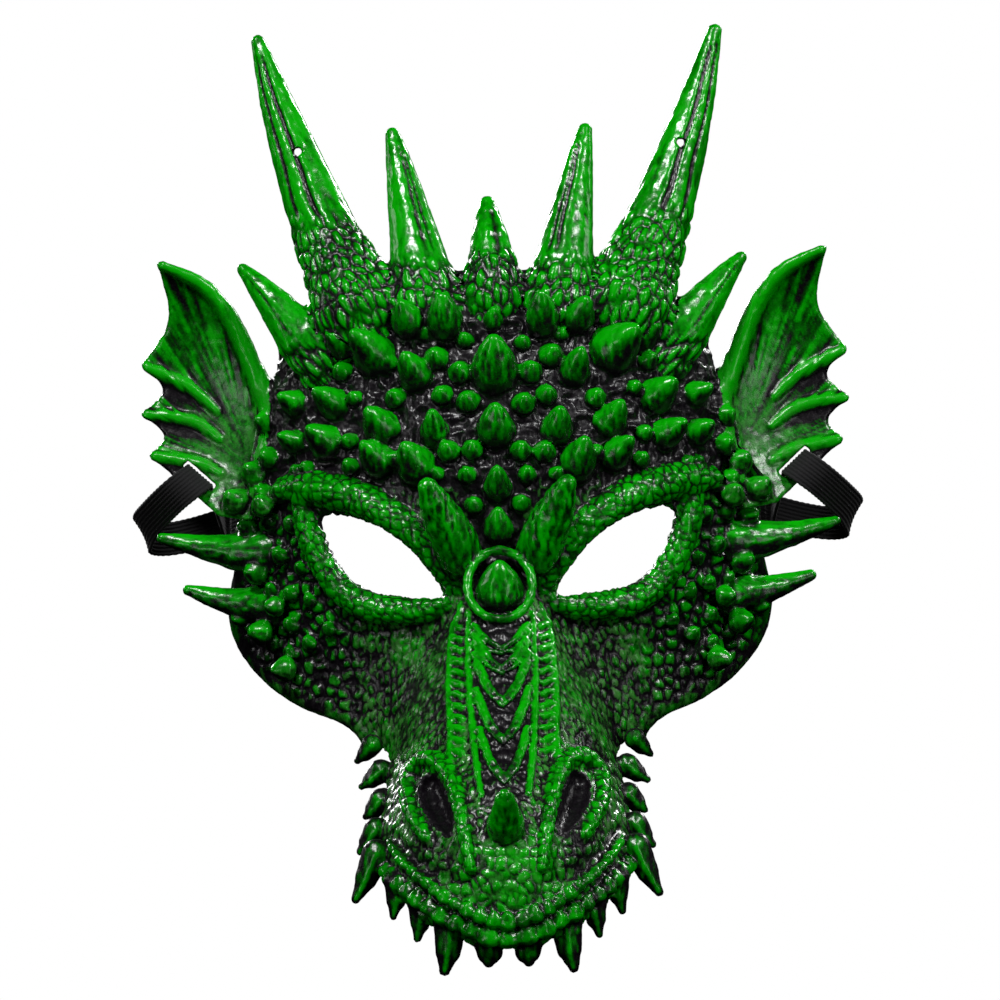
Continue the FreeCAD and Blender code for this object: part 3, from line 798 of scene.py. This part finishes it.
def along_horn(points, line):
    """For points near a horn's middle line: height share, and place across it from -1 to 1."""
    line = np.array(line)
    z = points[:, 2]
    middle = np.interp(z, line[:, 2], line[:, 0])
    half = np.interp(z, line[:, 2], line[:, 3])
    return (z - line[0, 2]) / (line[-1, 2] - line[0, 2]), (points[:, 0] - middle) / half


def horn_surface(points, line, grooves, scaly, seed):
    """Grooves along the top of a horn, and long scales round its root up to a share of its height."""
    share, across = along_horn(points, line)
    lean = (line[-1][0] - line[0][0]) / (line[-1][2] - line[0][2])
    straight = points.copy()
    straight[:, 0] -= (points[:, 2] - line[0][2]) * lean
    scales = scale_relief(straight, 3.3, seed, 0.45, (1, 1, 2.2))
    root = 1 - ramp(share, scaly - 0.08, scaly + 0.08)
    groove = np.zeros(len(points))
    wander = 0.1 * cloud(points, 14.0, seed + 5)
    for place, depth, width in grooves:
        groove += depth * np.exp(-((across + wander - place) / width) ** 2)
    groove *= ramp(share, 0.25, 0.4) * (1 - ramp(share, 0.88, 1.0))
    fine = cloud(straight / np.array((1, 1, 9)), 1.1, seed + 9)
    height = root * (scales * 1.3 - 0.8) - (1 - root) * groove + (1 - root) * 0.15 * fine
    patches = cloud(points, 11.0, seed + 3)
    paint = root * (0.58 + scales * 0.45 + 0.4 * patches)
    paint += (1 - root) * (0.92 - groove * 0.9 + 0.2 * fine + 0.2 * patches)
    return height, paint


def plain_skin(places, broad, middle, fine):
    """The ground between the features: wrinkles, pebbles and scales, by part of the face."""
    x, z = np.abs(places[:, 0]), places[:, 2]
    flat_places = places * FLATTENED
    tilted = flat_places.copy()
    tilted[:, 2] += x * 0.8
    pebble = scale_relief(flat_places, 4.4, 12, 0.45)
    rough = scale_relief(tilted, 2.6, 13, 0.5, (1, 1, 1.5))
    blocks = scale_relief(flat_places, 4.0, 14, 0.4)
    wrinkle = 1 - np.abs(cloud(flat_places, 4.2, 15)) * 1.6
    crinkle = 1 - np.abs(cloud(flat_places, 2.1, 16)) * 1.6

    # the cheeks are smooth along the mask's edge
    low = (z < 12) & (x > 45)
    margin = np.ones(len(places))
    outline = loop_through(both_sides(OUTLINE_HALF), 3)
    margin[low] = ramp(-outline_distance(outline, places[low, 0], z[low]), 1, 7)

    # each share is 1 in its part of the face and 0 elsewhere
    forehead = ramp(z, 8, 34)
    cheek = (1 - forehead) * ramp(x, 44, 58)
    jaw = cheek * (1 - ramp(z, -50, -28))
    snout = (1 - forehead) * (1 - cheek)
    tip = snout * (1 - ramp(z, -104, -92))
    flank = snout - tip
    beside_nostril = tip * ramp(x, 14, 22) * ramp(z, -117, -108)
    between_rails = flank * (1 - ramp(x, 8, 10)) * ramp(z, -88, -82)
    ear_root = 1 - ramp(np.hypot(x - 89, z - 31), 6, 10)

    height = forehead * (1.3 * wrinkle + 0.5 * crinkle - 1.1)
    height += cheek * margin * (1.3 * pebble - 0.6 + 0.25 * fine + 0.3 * middle)
    height += flank * (0.6 * rough - 0.4 + 0.35 * middle + 0.15 * fine)
    height += tip * (0.9 * blocks - 0.5)
    paint = forehead * (-0.05 + 0.2 * np.clip(wrinkle, 0, 1) ** 3 + 0.12 * middle)
    cheek_paint = 0.15 + margin * (0.7 * pebble + 0.3 * middle + 0.3 * broad)
    paint += cheek * (cheek_paint + (1 - margin) * (0.5 * middle + 0.15))
    paint += flank * (0.46 + 0.3 * rough + 0.4 * broad + 0.3 * middle)
    # The snout's tip carries more green than its flanks: partly its paint, partly painted light standing for
    # the front light on the tip.
    paint += tip * (0.75 + 0.35 * blocks + 0.3 * middle) - 0.5 * beside_nostril
    paint -= 0.75 * between_rails
    paint += 0.6 * ear_root
    # Lighter green: dust on the flanks, jaw and beside the nostrils, and on the snout's tip partly painted
    # light.
    dust_and_light = flank * 0.8 + jaw * 0.4 + 0.5 * beside_nostril + 0.25 * tip * (1 - beside_nostril)
    return height, paint, dust_and_light


HORN_FINISH = (
    ("outer_horn_", OUTER_HORN, ((0.0, 1.1, 0.1), (0.62, 0.8, 0.07)), 0.33, 31),
    ("mid_horn_", MID_HORN, ((-0.35, 0.6, 0.1), (-0.62, 0.5, 0.07)), 0.24, 37),
    ("side_spike_", SIDE_SPIKE, ((0.3, 0.4, 0.1),), 0.2, 41),
)


def relief_and_paint(places, normals, features, back):
    """How far each vertex moves out, how much green it carries, and how much lighter green: dust, and on the
    snout's tip partly painted light.
    """
    x, up = np.abs(places[:, 0]), normals[:, 2]
    is_a = {name: features == FEATURES.index(name) for name in FEATURES}
    broad = cloud(places, 16.0, 1)
    middle = cloud(places, 5.0, 2)
    fine = cloud(places, 1.6, 3)
    small = scale_relief(places * FLATTENED, 3.4, 11, 0.3)
    streak = cloud(places / np.array((1, 2, 3.5)), 1.0, 21)
    ahead = np.clip(-normals[:, 1], 0, 1)
    height, paint, dust_and_light = plain_skin(places, broad, middle, fine)

    def put(names, new_height, new_paint):
        mask = np.any([is_a[name] for name in names], axis=0)
        height[mask] = new_height[mask]
        paint[mask] = new_paint[mask]
        dust_and_light[mask] = 0.0

    put(["brow_ring"], 0.5 * small - 0.2, 0.6 + 0.3 * small + 0.2 * middle)
    put(["nose_ridge"], 0.2 * fine, 0.4 + 0.6 * ramp(x, 2, 7.5) + 0.2 * middle + 0.15 * fine)
    put(["nostril_rim"], 0.5 * small - 0.2, 0.62 + 0.3 * small + 0.15 * middle)
    put(["nostril"], 0.1 * fine, -0.6 + 0.1 * fine)
    put(["front_lip"], 0.25 * fine, 0.68 + 0.3 * middle)
    # Tops carry more green and undersides less: partly the brush from the front and above, partly painted
    # light on the tops and painted shade underneath.
    put(["forehead_spikes", "forehead_knobs", "nose_knob"],
        0.16 * streak, 0.42 + 0.35 * ahead + 0.85 * np.clip(up, -0.8, 1) + 0.25 * streak)
    put(["nose_spike"], 0.16 * streak, 0.85 + 0.3 * streak + 0.3 * np.clip(up, -1, 0))
    put(["brow_spike_left", "brow_spike_right"], 0.3 * streak, 0.7 + 0.25 * streak + 0.2 * middle)
    put(["teeth_left", "teeth_right"], 0.12 * streak, -0.1 + 1.05 * ahead ** 3 + 0.25 * streak)
    for side, sign in SIDES:
        for name, line, grooves, scaly, seed in HORN_FINISH:
            mask = is_a[name + side]
            line = flip(line, sign)
            grooves = [(place * sign, depth, width) for place, depth, width in grooves]
            height[mask], paint[mask] = horn_surface(places[mask], line, grooves, scaly, seed + sign)
            dust_and_light[mask] = 0.0
        mask = is_a["ear_" + side]
        height[mask], paint[mask], dust_and_light[mask] = ear_finish(places[mask])
        mask = is_a["cheek_spikes_" + side]
        lengthwise = cloud(places[mask] / np.array((5, 1, 1)), 1.2, 45)
        height[mask] = 0.2 * lengthwise
        # More green on the tops, less underneath: partly the brush from above, partly painted light on top
        # and painted shade underneath.
        paint[mask] = 0.6 + 0.25 * lengthwise + 0.55 * up[mask]
    mask = is_a["centre_horn"]
    height[mask], paint[mask] = horn_surface(places[mask], CENTRE_HORN, [(0.35, 0.5, 0.25)], 0.5, 51)

    height += 0.12 * fine
    height = height * (1 - back) + back * (0.2 * middle + 0.1 * fine)
    paint = paint * (1 - back) + NO_PAINT * back
    return height, paint, dust_and_light


def ear_finish(points):
    """Fine ridges and brush strokes that follow the ear from its root to its edge, and painted shade in a
    band under each rib.
    """
    x, z = np.abs(points[:, 0]), points[:, 2]
    angle = np.degrees(np.arctan2(z - EAR_ROOT[1], x - EAR_ROOT[0]))
    reach = np.hypot(x - EAR_ROOT[0], z - EAR_ROOT[1])
    level = np.zeros(len(points))
    strokes = cloud(np.column_stack([angle, reach / 14, level]), 1.6, 61)
    finer = cloud(np.column_stack([angle, reach / 9, level]), 0.8, 62)
    root = 1 - ramp(reach, 14, 40)
    height = 0.28 * strokes * (1 - root)
    # A dark band under each rib: painted shade below the rib.
    shade_below_ribs = np.zeros(len(points))
    for rib in EAR_RIBS:
        below = np.interp(x, [row[0] for row in rib], [row[1] for row in rib]) - z
        shade_below_ribs = np.maximum(shade_below_ribs, np.exp(-((below - 4.5) / 2.2) ** 2) * ramp(x, 100, 113))
    paint = 0.72 + (0.32 * strokes + 0.3 * finer) * (1 - 0.5 * root) - 1.1 * shade_below_ribs
    before = ear_surface(x, z) - points[:, 1]
    paint += 0.6 * ramp(before + 1.6, 1.9, 3.2)
    behind = ramp(-before, 1.2, 2.2)
    paint = paint * (1 - behind) + NO_PAINT * behind
    return height * (1 - behind), paint, 0.4 * root


def cavity(places, normals, quads):
    """How far each vertex lies below its surroundings, in millimetres."""
    around = np.stack([smooth_over(places[:, k].copy(), quads, 5) for k in range(3)], -1)
    return ((around - places) * normals).sum(1)


# ---- pieces ----
def close_loops(quads, places, normals):
    """Triangles that close each open edge of a piece, sunk a little into the foam."""
    start = quads.ravel()
    end = np.roll(quads, -1, axis=1).ravel()
    base = int(start.max()) + 1
    forward = start.astype(np.int64) * base + end
    backward = end.astype(np.int64) * base + start
    open_edge = ~np.isin(forward, backward)
    following = dict(zip(start[open_edge].tolist(), end[open_edge].tolist()))
    extra_places = []
    triangles = []
    while following:
        first, second = following.popitem()
        ring = [first]
        while second != first and second in following:
            ring.append(second)
            second = following.pop(second)
        if len(ring) < 3 or second != first:
            continue
        middle = places[ring].mean(0) - 1.5 * normals[ring].mean(0)
        index = len(places) + len(extra_places)
        extra_places.append(middle)
        for here, there in zip(ring, ring[1:] + ring[:1]):
            triangles.append((there, here, index))
    return extra_places, triangles


def make_mesh(name, places, faces, normals=None, values=None):
    mesh = bpy.data.meshes.new(name)
    mesh.from_pydata(places.tolist(), [], faces)
    mesh.shade_smooth()
    for key, data in (values or {}).items():
        layer = mesh.attributes.new(key, "FLOAT", "POINT")
        layer.data.foreach_set("value", np.asarray(data, np.float32))
    if normals is not None:
        mesh.normals_split_custom_set_from_vertices(normals.tolist())
    item = bpy.data.objects.new(name, mesh)
    bpy.context.scene.collection.objects.link(item)
    return item


def make_piece(name, chosen, places, quads, normals, values):
    """One feature of the moulding as a closed piece of its own."""
    own_quads = quads[chosen]
    used, flat = np.unique(own_quads, return_inverse=True)
    own_quads = flat.reshape(own_quads.shape)
    own_places = places[used]
    own_normals = normals[used]
    extra, triangles = close_loops(own_quads, own_places, own_normals)
    own_values = {key: data[used] for key, data in values.items()}
    if extra:
        own_places = np.vstack([own_places, extra])
        own_normals = np.vstack([own_normals, np.tile((0.0, 1.0, 0.0), (len(extra), 1))])
        hidden = np.full(len(extra), -0.5)
        own_values = {key: np.append(data, hidden) for key, data in own_values.items()}
    faces = own_quads.tolist() + triangles
    return make_mesh(name, own_places * MM, faces, own_normals, own_values)


REPLACED = {
    "mask_skin": ["face_shell", "snout_shell", "brow_ring_left", "brow_ring_right", "nose_ridge",
                  "nostril_rim_left", "nostril_rim_right", "front_lip"],
}


def finish_of(name):
    if name.startswith("ear"):
        return "ear_foam"
    if name.startswith("teeth"):
        return "tooth_foam"
    if "horn" in name:
        return "horn_foam"
    return "skin_foam"


def make_mask(paints):
    """Mesh the moulding, press in its relief, work out its paint and divide it into pieces."""
    hollow = build_field()
    places, quads = mesh_field()
    normals = vertex_normals(places, quads)
    features = vertex_features(places, quads)
    index = np.round((places - LOW) / VOXEL).astype(int)
    inner = index[:, 2] < hollow.shape[2]
    depth = np.full(len(places), 9.0)
    depth[inner] = hollow[index[inner, 0], index[inner, 1], index[inner, 2]]
    back = 1 - ramp(np.abs(depth), VOXEL, VOXEL + 0.8)
    back = smooth_over(back, quads, 2)
    back = np.maximum(back, ramp(normals[:, 1], 0.25, 0.6))
    back[(features == FEATURES.index("nostril")) & (normals[:, 1] < 0.1)] = 0
    height, paint, dust_and_light = relief_and_paint(places, normals, features, back)
    places = places + normals * height[:, None]
    normals = vertex_normals(places, quads)
    sunk = cavity(places, normals, quads)
    values = {"paint": paint - 0.5 * np.clip(sunk * 2.2, -0.4, 1.2), "dust_and_light": dust_and_light, "back": back}
    piece_of = np.where(features < len(PIECES), features, 0)
    owner_of_quad = piece_of[quads[:, 0]]
    for number, name in enumerate(PIECES):
        chosen = owner_of_quad == number
        piece_name = name + "_skin" if number else name
        piece = make_piece(piece_name, chosen, places, quads, normals, values)
        piece.data.materials.append(paints[finish_of(name)])
        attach(piece, "mask")
        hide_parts(*REPLACED.get(name, [name]))


# ---- materials ----

class Nodes:
    """A short way to write a material's nodes."""

    def __init__(self, name):
        self.material = bpy.data.materials.new(name)
        self.material.use_nodes = True
        self.tree = self.material.node_tree
        self.shader = self.tree.nodes["Principled BSDF"]
        self.place = self.add("ShaderNodeTexCoord").outputs["Object"]

    def add(self, kind, **settings):
        node = self.tree.nodes.new(kind)
        for key, value in settings.items():
            setattr(node, key, value)
        return node

    def link(self, source, target):
        self.tree.links.new(source, target)

    def math(self, operation, first, second):
        node = self.add("ShaderNodeMath", operation=operation)
        for socket, value in zip(node.inputs, (first, second)):
            if isinstance(value, (int, float)):
                socket.default_value = value
            else:
                self.link(value, socket)
        return node.outputs[0]

    def vary(self, value, noise, amount):
        """The value, moved up and down by noise that averages a half."""
        return self.math("ADD", value, self.math("MULTIPLY", self.math("SUBTRACT", noise, 0.5), amount))

    def attribute(self, name):
        return self.add("ShaderNodeAttribute", attribute_name=name).outputs["Fac"]

    def noise(self, scale, detail=3.0, stretch=None, roughness=0.6):
        """Noise from 0 to 1; scale is in features to the metre."""
        node = self.add("ShaderNodeTexNoise")
        node.inputs["Scale"].default_value = scale
        node.inputs["Detail"].default_value = detail
        node.inputs["Roughness"].default_value = roughness
        source = self.place
        if stretch:
            mapping = self.add("ShaderNodeMapping")
            mapping.inputs["Scale"].default_value = stretch
            self.link(self.place, mapping.inputs["Vector"])
            source = mapping.outputs["Vector"]
        self.link(source, node.inputs["Vector"])
        return node.outputs["Fac"]

    def spread(self, value, low, high, to_low=0.0, to_high=1.0):
        node = self.add("ShaderNodeMapRange", interpolation_type="SMOOTHSTEP")
        self.link(value, node.inputs["Value"])
        ends = {"From Min": low, "From Max": high, "To Min": to_low, "To Max": to_high}
        for key, number in ends.items():
            node.inputs[key].default_value = number
        return node.outputs["Result"]

    def mix(self, amount, first, second):
        node = self.add("ShaderNodeMix", data_type="RGBA")
        self.link(amount, node.inputs["Factor"])
        for key, value in (("A", first), ("B", second)):
            socket = [s for s in node.inputs if s.name == key and s.type == "RGBA"][0]
            if isinstance(value, tuple):
                socket.default_value = value + (1.0,)
            else:
                self.link(value, socket)
        return [s for s in node.outputs if s.type == "RGBA"][0]

    def bump(self, height, strength, distance):
        node = self.add("ShaderNodeBump")
        node.inputs["Strength"].default_value = strength
        node.inputs["Distance"].default_value = distance
        self.link(height, node.inputs["Height"])
        self.link(node.outputs["Normal"], self.shader.inputs["Normal"])


BLACK = (0.005, 0.0035, 0.0055)
WORN_BLACK = (0.02, 0.014, 0.021)
BARE_FOAM = (0.03, 0.028, 0.031)
DEEP_GREEN = (0.0, 0.05, 0.0)
GREEN = (0.0, 0.27, 0.0)
BRIGHT_GREEN = (0.002, 0.5, 0.001)
# Lighter green for dust, also painted light on the snout's tip.
DUST_AND_LIGHT_GREEN = (0.08, 0.26, 0.06)


def paint_material(name, stretch, gloss):
    """Black foam under green paint that sits on whatever stands proud."""
    nodes = Nodes(name)
    brush = nodes.noise(520.0, 4.0, stretch, 0.65)
    specks = nodes.noise(1500.0, 2.0)
    patches = nodes.noise(70.0, 3.0)
    back = nodes.attribute("back")
    level = nodes.vary(nodes.vary(nodes.attribute("paint"), brush, 0.9), specks, 0.35)
    covered = nodes.spread(level, 0.32, 0.52)
    thick = nodes.spread(level, 0.45, 0.95)
    green = nodes.mix(thick, DEEP_GREEN, GREEN)
    green = nodes.mix(nodes.spread(nodes.vary(level, patches, 1.0), 0.75, 1.25), green, BRIGHT_GREEN)
    # Lighter green for dust, and on the snout's tip partly painted light.
    dust_and_light_share = nodes.math("MULTIPLY", nodes.attribute("dust_and_light"), nodes.spread(brush, 0.42, 0.62))
    green = nodes.mix(dust_and_light_share, green, DUST_AND_LIGHT_GREEN)
    ground = nodes.mix(nodes.spread(specks, 0.5, 0.75), BLACK, WORN_BLACK)
    ground = nodes.mix(back, ground, BARE_FOAM)
    nodes.link(nodes.mix(covered, ground, green), nodes.shader.inputs["Base Color"])
    rough = nodes.spread(level, 0.2, 0.9, 0.3, gloss)
    rough = nodes.math("MAXIMUM", rough, nodes.spread(back, 0.3, 0.8, 0.0, 0.7))
    nodes.link(nodes.vary(rough, specks, 0.15), nodes.shader.inputs["Roughness"])
    nodes.shader.inputs["Specular IOR Level"].default_value = 0.5
    grain = nodes.math("ADD", nodes.math("MULTIPLY", brush, 0.7), nodes.math("MULTIPLY", specks, 0.3))
    nodes.bump(grain, 0.5, 0.00022)
    return nodes.material


def elastic_material():
    """Black knitted elastic with a faint fuzz."""
    nodes = Nodes("black_elastic")
    lumps = nodes.noise(900.0, 2.0)
    fuzz = nodes.noise(4000.0, 2.0)
    black = nodes.mix(fuzz, (0.002, 0.002, 0.0025), (0.012, 0.011, 0.013))
    nodes.link(black, nodes.shader.inputs["Base Color"])
    nodes.shader.inputs["Roughness"].default_value = 0.85
    nodes.shader.inputs["Sheen Weight"].default_value = 0.05
    nodes.bump(nodes.math("ADD", lumps, fuzz), 0.5, 0.0003)
    return nodes.material


def thread_material():
    nodes = Nodes("black_thread")
    twist = nodes.noise(2500.0, 1.0)
    black = nodes.mix(twist, (0.006, 0.006, 0.007), (0.04, 0.038, 0.042))
    nodes.link(black, nodes.shader.inputs["Base Color"])
    nodes.shader.inputs["Roughness"].default_value = 0.6
    nodes.bump(twist, 0.5, 0.0002)
    return nodes.material


# ---- the strap ----
STRAP_WIDTH = 12.0
STRAP_THICK = 1.2
KNIT = 0.55
# Stations along the strap: a centre, and the direction of its width. In the slot that is the slot's own.
SLOT_LINE = (0.737, 0, 0.675)
UPRIGHT = (0, 0, 1)
SEWN_END = ((97, 80, 13), UPRIGHT)
LOOP = [
    ((92.8, 82.8, 14.6), UPRIGHT), ((96.3, 77.8, 14.0), (0.05, 0, 1)),
    ((99.5, 66, 19.5), (0.3, 0, 0.95)), ((103, 54, 26.5), (0.6, 0, 0.8)),
    ((104.5, 46, 30.2), SLOT_LINE), ((104.5, 40.6, 30.5), SLOT_LINE), ((104.8, 35.2, 30.2), SLOT_LINE),
    ((108.3, 31.2, 27.8), SLOT_LINE), ((114, 33.5, 23.4), SLOT_LINE), ((120, 43.5, 18), SLOT_LINE),
    ((124.5, 56, 13), (0.6, -0.1, 0.8)), ((124.0, 67.5, 9.5), (0.3, -0.2, 0.93)),
    ((117.5, 76, 8.5), (0.1, -0.1, 0.99)), ((108, 79, 10), UPRIGHT), SEWN_END,
]
BAND_HALF = [
    SEWN_END, ((88, 91.5, 17.5), UPRIGHT), ((74, 106, 22), UPRIGHT), ((54, 121, 27), UPRIGHT),
    ((28, 131.5, 31), UPRIGHT), ((0, 135, 32.5), UPRIGHT),
]


def strap_section(ribs=9, per_rib=6):
    """Across the strap: (place from -1 to 1, height from its middle), round the whole section."""
    count = ribs * per_rib
    place = np.linspace(-1, 1, count + 1)
    swell = 0.13 * (1 - np.cos(np.arange(count + 1) / per_rib * 2 * np.pi))
    edge = np.sqrt(np.clip(1 - np.abs(place) ** 24, 0, 1))
    height = (STRAP_THICK / 2 - 0.2 + swell) * edge
    top = np.column_stack([place, height])
    bottom = np.column_stack([place[::-1], -height[::-1]])[1:-1]
    return np.vstack([top, bottom])


def strap_piece(name, stations, material, replaced, sign=1):
    """The strap's strip through stations, each a centre and the direction of its width."""
    rows = [tuple(centre) + tuple(across) for centre, across in stations]
    line = path_through(rows, 40)
    travelled = distances_along(line)
    places = np.arange(0, travelled[-1], KNIT)
    line = np.column_stack([np.interp(places, travelled, line[:, k]) for k in range(6)])
    along = np.gradient(line[:, :3], axis=0)
    along /= np.linalg.norm(along, axis=1, keepdims=True)
    across = line[:, 3:] - along * (line[:, 3:] * along).sum(1, keepdims=True)
    across /= np.linalg.norm(across, axis=1, keepdims=True)
    out = np.cross(along, across)
    section = strap_section()
    purl = 1 + 0.16 * np.cos(np.arange(len(line)) * np.pi)
    width = STRAP_WIDTH / 2 * (0.985 + 0.015 * np.cos(np.arange(len(line)) * np.pi / 2))
    rings = (line[:, None, :3] + across[:, None] * (section[None, :, :1] * width[:, None, None])
             + out[:, None] * (section[None, :, 1:] * purl[:, None, None]))
    faces = tube_faces(len(line), len(section))
    if sign < 0:
        faces = [face[::-1] for face in faces]
    piece = make_mesh(name, rings.reshape(-1, 3) * (sign, 1, 1) * MM, faces)
    piece.data.materials.append(material)
    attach(piece, "strap")
    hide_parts(replaced)


def tube_faces(rings, around, base=0):
    """Faces of a tube of rings of vertices, with both ends capped."""
    faces = []
    for ring in range(rings - 1):
        for k in range(around):
            a = base + ring * around + k
            b = base + ring * around + (k + 1) % around
            faces.append((a, b, b + around, a + around))
    faces.append(tuple(base + k for k in reversed(range(around))))
    faces.append(tuple(base + (rings - 1) * around + k for k in range(around)))
    return faces


# the bar tack's half width, half depth and half height, and its zigzag
TACK_HALF = (1.9, 1.9, 3.9)
ZIGZAGS = 13
ZIGZAG_STEP = 0.65
ZIGZAG_RISE = 0.32
THREAD = 0.24
# from the middle of the bar tack's block to the middle of the doubled strap
TACK_SHIFT = (-0.4, 1.5, -0.9)
TACK_TURN = math.radians(-10)


def stitch_piece(side, sign, material):
    """Rows of zigzag stitches on both faces of the doubled strap, and the threads that go through it."""
    low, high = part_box("bar_tack_" + side)
    shift = np.array(TACK_SHIFT) * (sign, 1, 1)
    centre = (np.array(low) + high) / 2 / MM + shift
    wide, deep, tall = TACK_HALF
    stitches = []
    for layer in (-1, 1):
        for row in range(ZIGZAGS):
            level = row * ZIGZAG_STEP - tall
            start = np.array([-wide, layer * deep, level])
            end = np.array([wide, layer * deep, level + ZIGZAG_RISE])
            stitches += [(start, end), (end, start + (0, 0, ZIGZAG_STEP))]
        for column in (-1.6, 1.6):
            stitches.append((np.array([column, -2, layer * tall]), np.array([column, 2, layer * tall])))
    vertices = []
    faces = []
    for start, end in stitches:
        add_stitch(vertices, faces, start, end)
    cos, sin = math.cos(TACK_TURN * sign), math.sin(TACK_TURN * sign)
    turned = np.array(vertices) @ np.array([(cos, sin, 0), (-sin, cos, 0), (0, 0, 1)])
    piece = make_mesh("bar_tack_stitches_" + side, (turned + centre) * MM, faces)
    piece.data.materials.append(material)
    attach(piece, "strap")
    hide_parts("bar_tack_" + side)


def add_stitch(vertices, faces, start, end, around=6):
    """One stitch: a short rod with pinched ends."""
    along = (end - start) / np.linalg.norm(end - start)
    side = np.cross(along, (0.3, 0.9, 0.2))
    side /= np.linalg.norm(side)
    other = np.cross(along, side)
    profile = ((0.0, 0.35), (0.15, 0.9), (0.5, 1.0), (0.85, 0.9), (1.0, 0.35))
    faces.extend(tube_faces(len(profile), around, len(vertices)))
    for t, thick in profile:
        for k in range(around):
            angle = 2 * math.pi * k / around
            offset = (side * math.cos(angle) + other * math.sin(angle)) * THREAD * thick
            vertices.append(start + (end - start) * t + offset)


def make_strap():
    elastic = elastic_material()
    thread = thread_material()
    for side, sign in SIDES:
        strap_piece("strap_loop_knit_" + side, LOOP, elastic, "strap_loop_" + side, sign)
        stitch_piece(side, sign, thread)
    far_half = [((-x, y, z), across) for (x, y, z), across in reversed(BAND_HALF[:-1])]
    strap_piece("strap_band_knit", BAND_HALF + far_half, elastic, "strap_band")


# ---- camera, floor and light ----

CAMERA_DISTANCE = 6.0
VIEW_WIDTH = 0.350
SENSOR = 36
CAMERA_ROLL = math.radians(1.4)
AIM = (0.0008, 0.02, 0.0195)
FLOOR_RADIUS = 1.2
FLOOR_LEVEL = -0.20
FLOOR_CORNERS = 64
LIT_POINT = (0, 0, 0.02)
# name, place, size in metres, power in watts
LIGHTS = [
    ("key", (-0.6, -1.3, 1.5), 0.22, 20), ("fill", (1.0, -1.2, 1.2), 0.22, 13),
    ("rim_left", (-1.3, 0.2, 0.5), 0.3, 1.2), ("rim_right", (1.3, 0.2, 0.6), 0.3, 1.2),
    ("low_left", (-1.2, -1.5, 0.0), 0.5, 2.5), ("low_right", (1.2, -1.5, 0.0), 0.5, 2.5),
    ("behind_left", (-1.0, 1.6, 0.7), 0.5, 22), ("behind_right", (1.2, 1.4, 1.2), 0.5, 30),
]


def make_camera():
    """Straight on, from far enough away to flatten the view."""
    camera = bpy.data.cameras.new("camera")
    camera.sensor_width = SENSOR
    camera.lens = SENSOR * CAMERA_DISTANCE / VIEW_WIDTH
    item = bpy.data.objects.new("camera", camera)
    item.location = (AIM[0], AIM[1] - CAMERA_DISTANCE, AIM[2])
    item.rotation_euler = (math.radians(90), CAMERA_ROLL, 0)
    bpy.context.scene.collection.objects.link(item)
    bpy.context.scene.camera = item
    bpy.context.scene.view_settings.view_transform = "Standard"


def make_stage():
    """A plain pale floor under a white surround; neither is mirrored in the gloss of the paint."""
    around = np.linspace(0, 2 * math.pi, FLOOR_CORNERS, endpoint=False)
    level = np.full(FLOOR_CORNERS, FLOOR_LEVEL)
    places = np.column_stack([FLOOR_RADIUS * np.cos(around), FLOOR_RADIUS * np.sin(around), level])
    floor = make_mesh("stage_floor", places, [tuple(range(FLOOR_CORNERS))])
    material = bpy.data.materials.new("stage_white")
    material.use_nodes = True
    shader = material.node_tree.nodes["Principled BSDF"]
    shader.inputs["Base Color"].default_value = (0.9, 0.9, 0.9, 1)
    shader.inputs["Roughness"].default_value = 0.9
    shader.inputs["Emission Color"].default_value = (1, 1, 1, 1)
    shader.inputs["Emission Strength"].default_value = 0.65
    floor.data.materials.append(material)
    floor.visible_glossy = False
    floor.visible_diffuse = False
    world = bpy.data.worlds.new("white_surround")
    bpy.context.scene.world = world
    world.use_nodes = True
    background = world.node_tree.nodes["Background"]
    background.inputs["Color"].default_value = (1, 1, 1, 1)
    background.inputs["Strength"].default_value = 1.0
    world.cycles_visibility.diffuse = False
    world.cycles_visibility.glossy = False


def make_lights():
    for name, place, size, power in LIGHTS:
        light = bpy.data.lights.new(name, "AREA")
        light.shape = "SQUARE"
        light.size = size
        light.energy = power
        item = bpy.data.objects.new(name, light)
        item.location = place
        aim = np.subtract(LIT_POINT, place)
        pitch = math.atan2(math.hypot(aim[0], aim[1]), -aim[2])
        item.rotation_euler = (pitch, 0, math.atan2(aim[1], aim[0]) - math.pi / 2)
        bpy.context.scene.collection.objects.link(item)


make_camera()
make_stage()
make_lights()
make_mask({
    "skin_foam": paint_material("painted_skin", (1.0, 1.0, 0.55), 0.22),
    "horn_foam": paint_material("painted_horn", (1.0, 1.0, 0.16), 0.2),
    "ear_foam": paint_material("painted_ear", (0.7, 0.7, 0.5), 0.26),
    "tooth_foam": paint_material("painted_tooth", (1.0, 1.0, 0.3), 0.25),
})
make_strap()
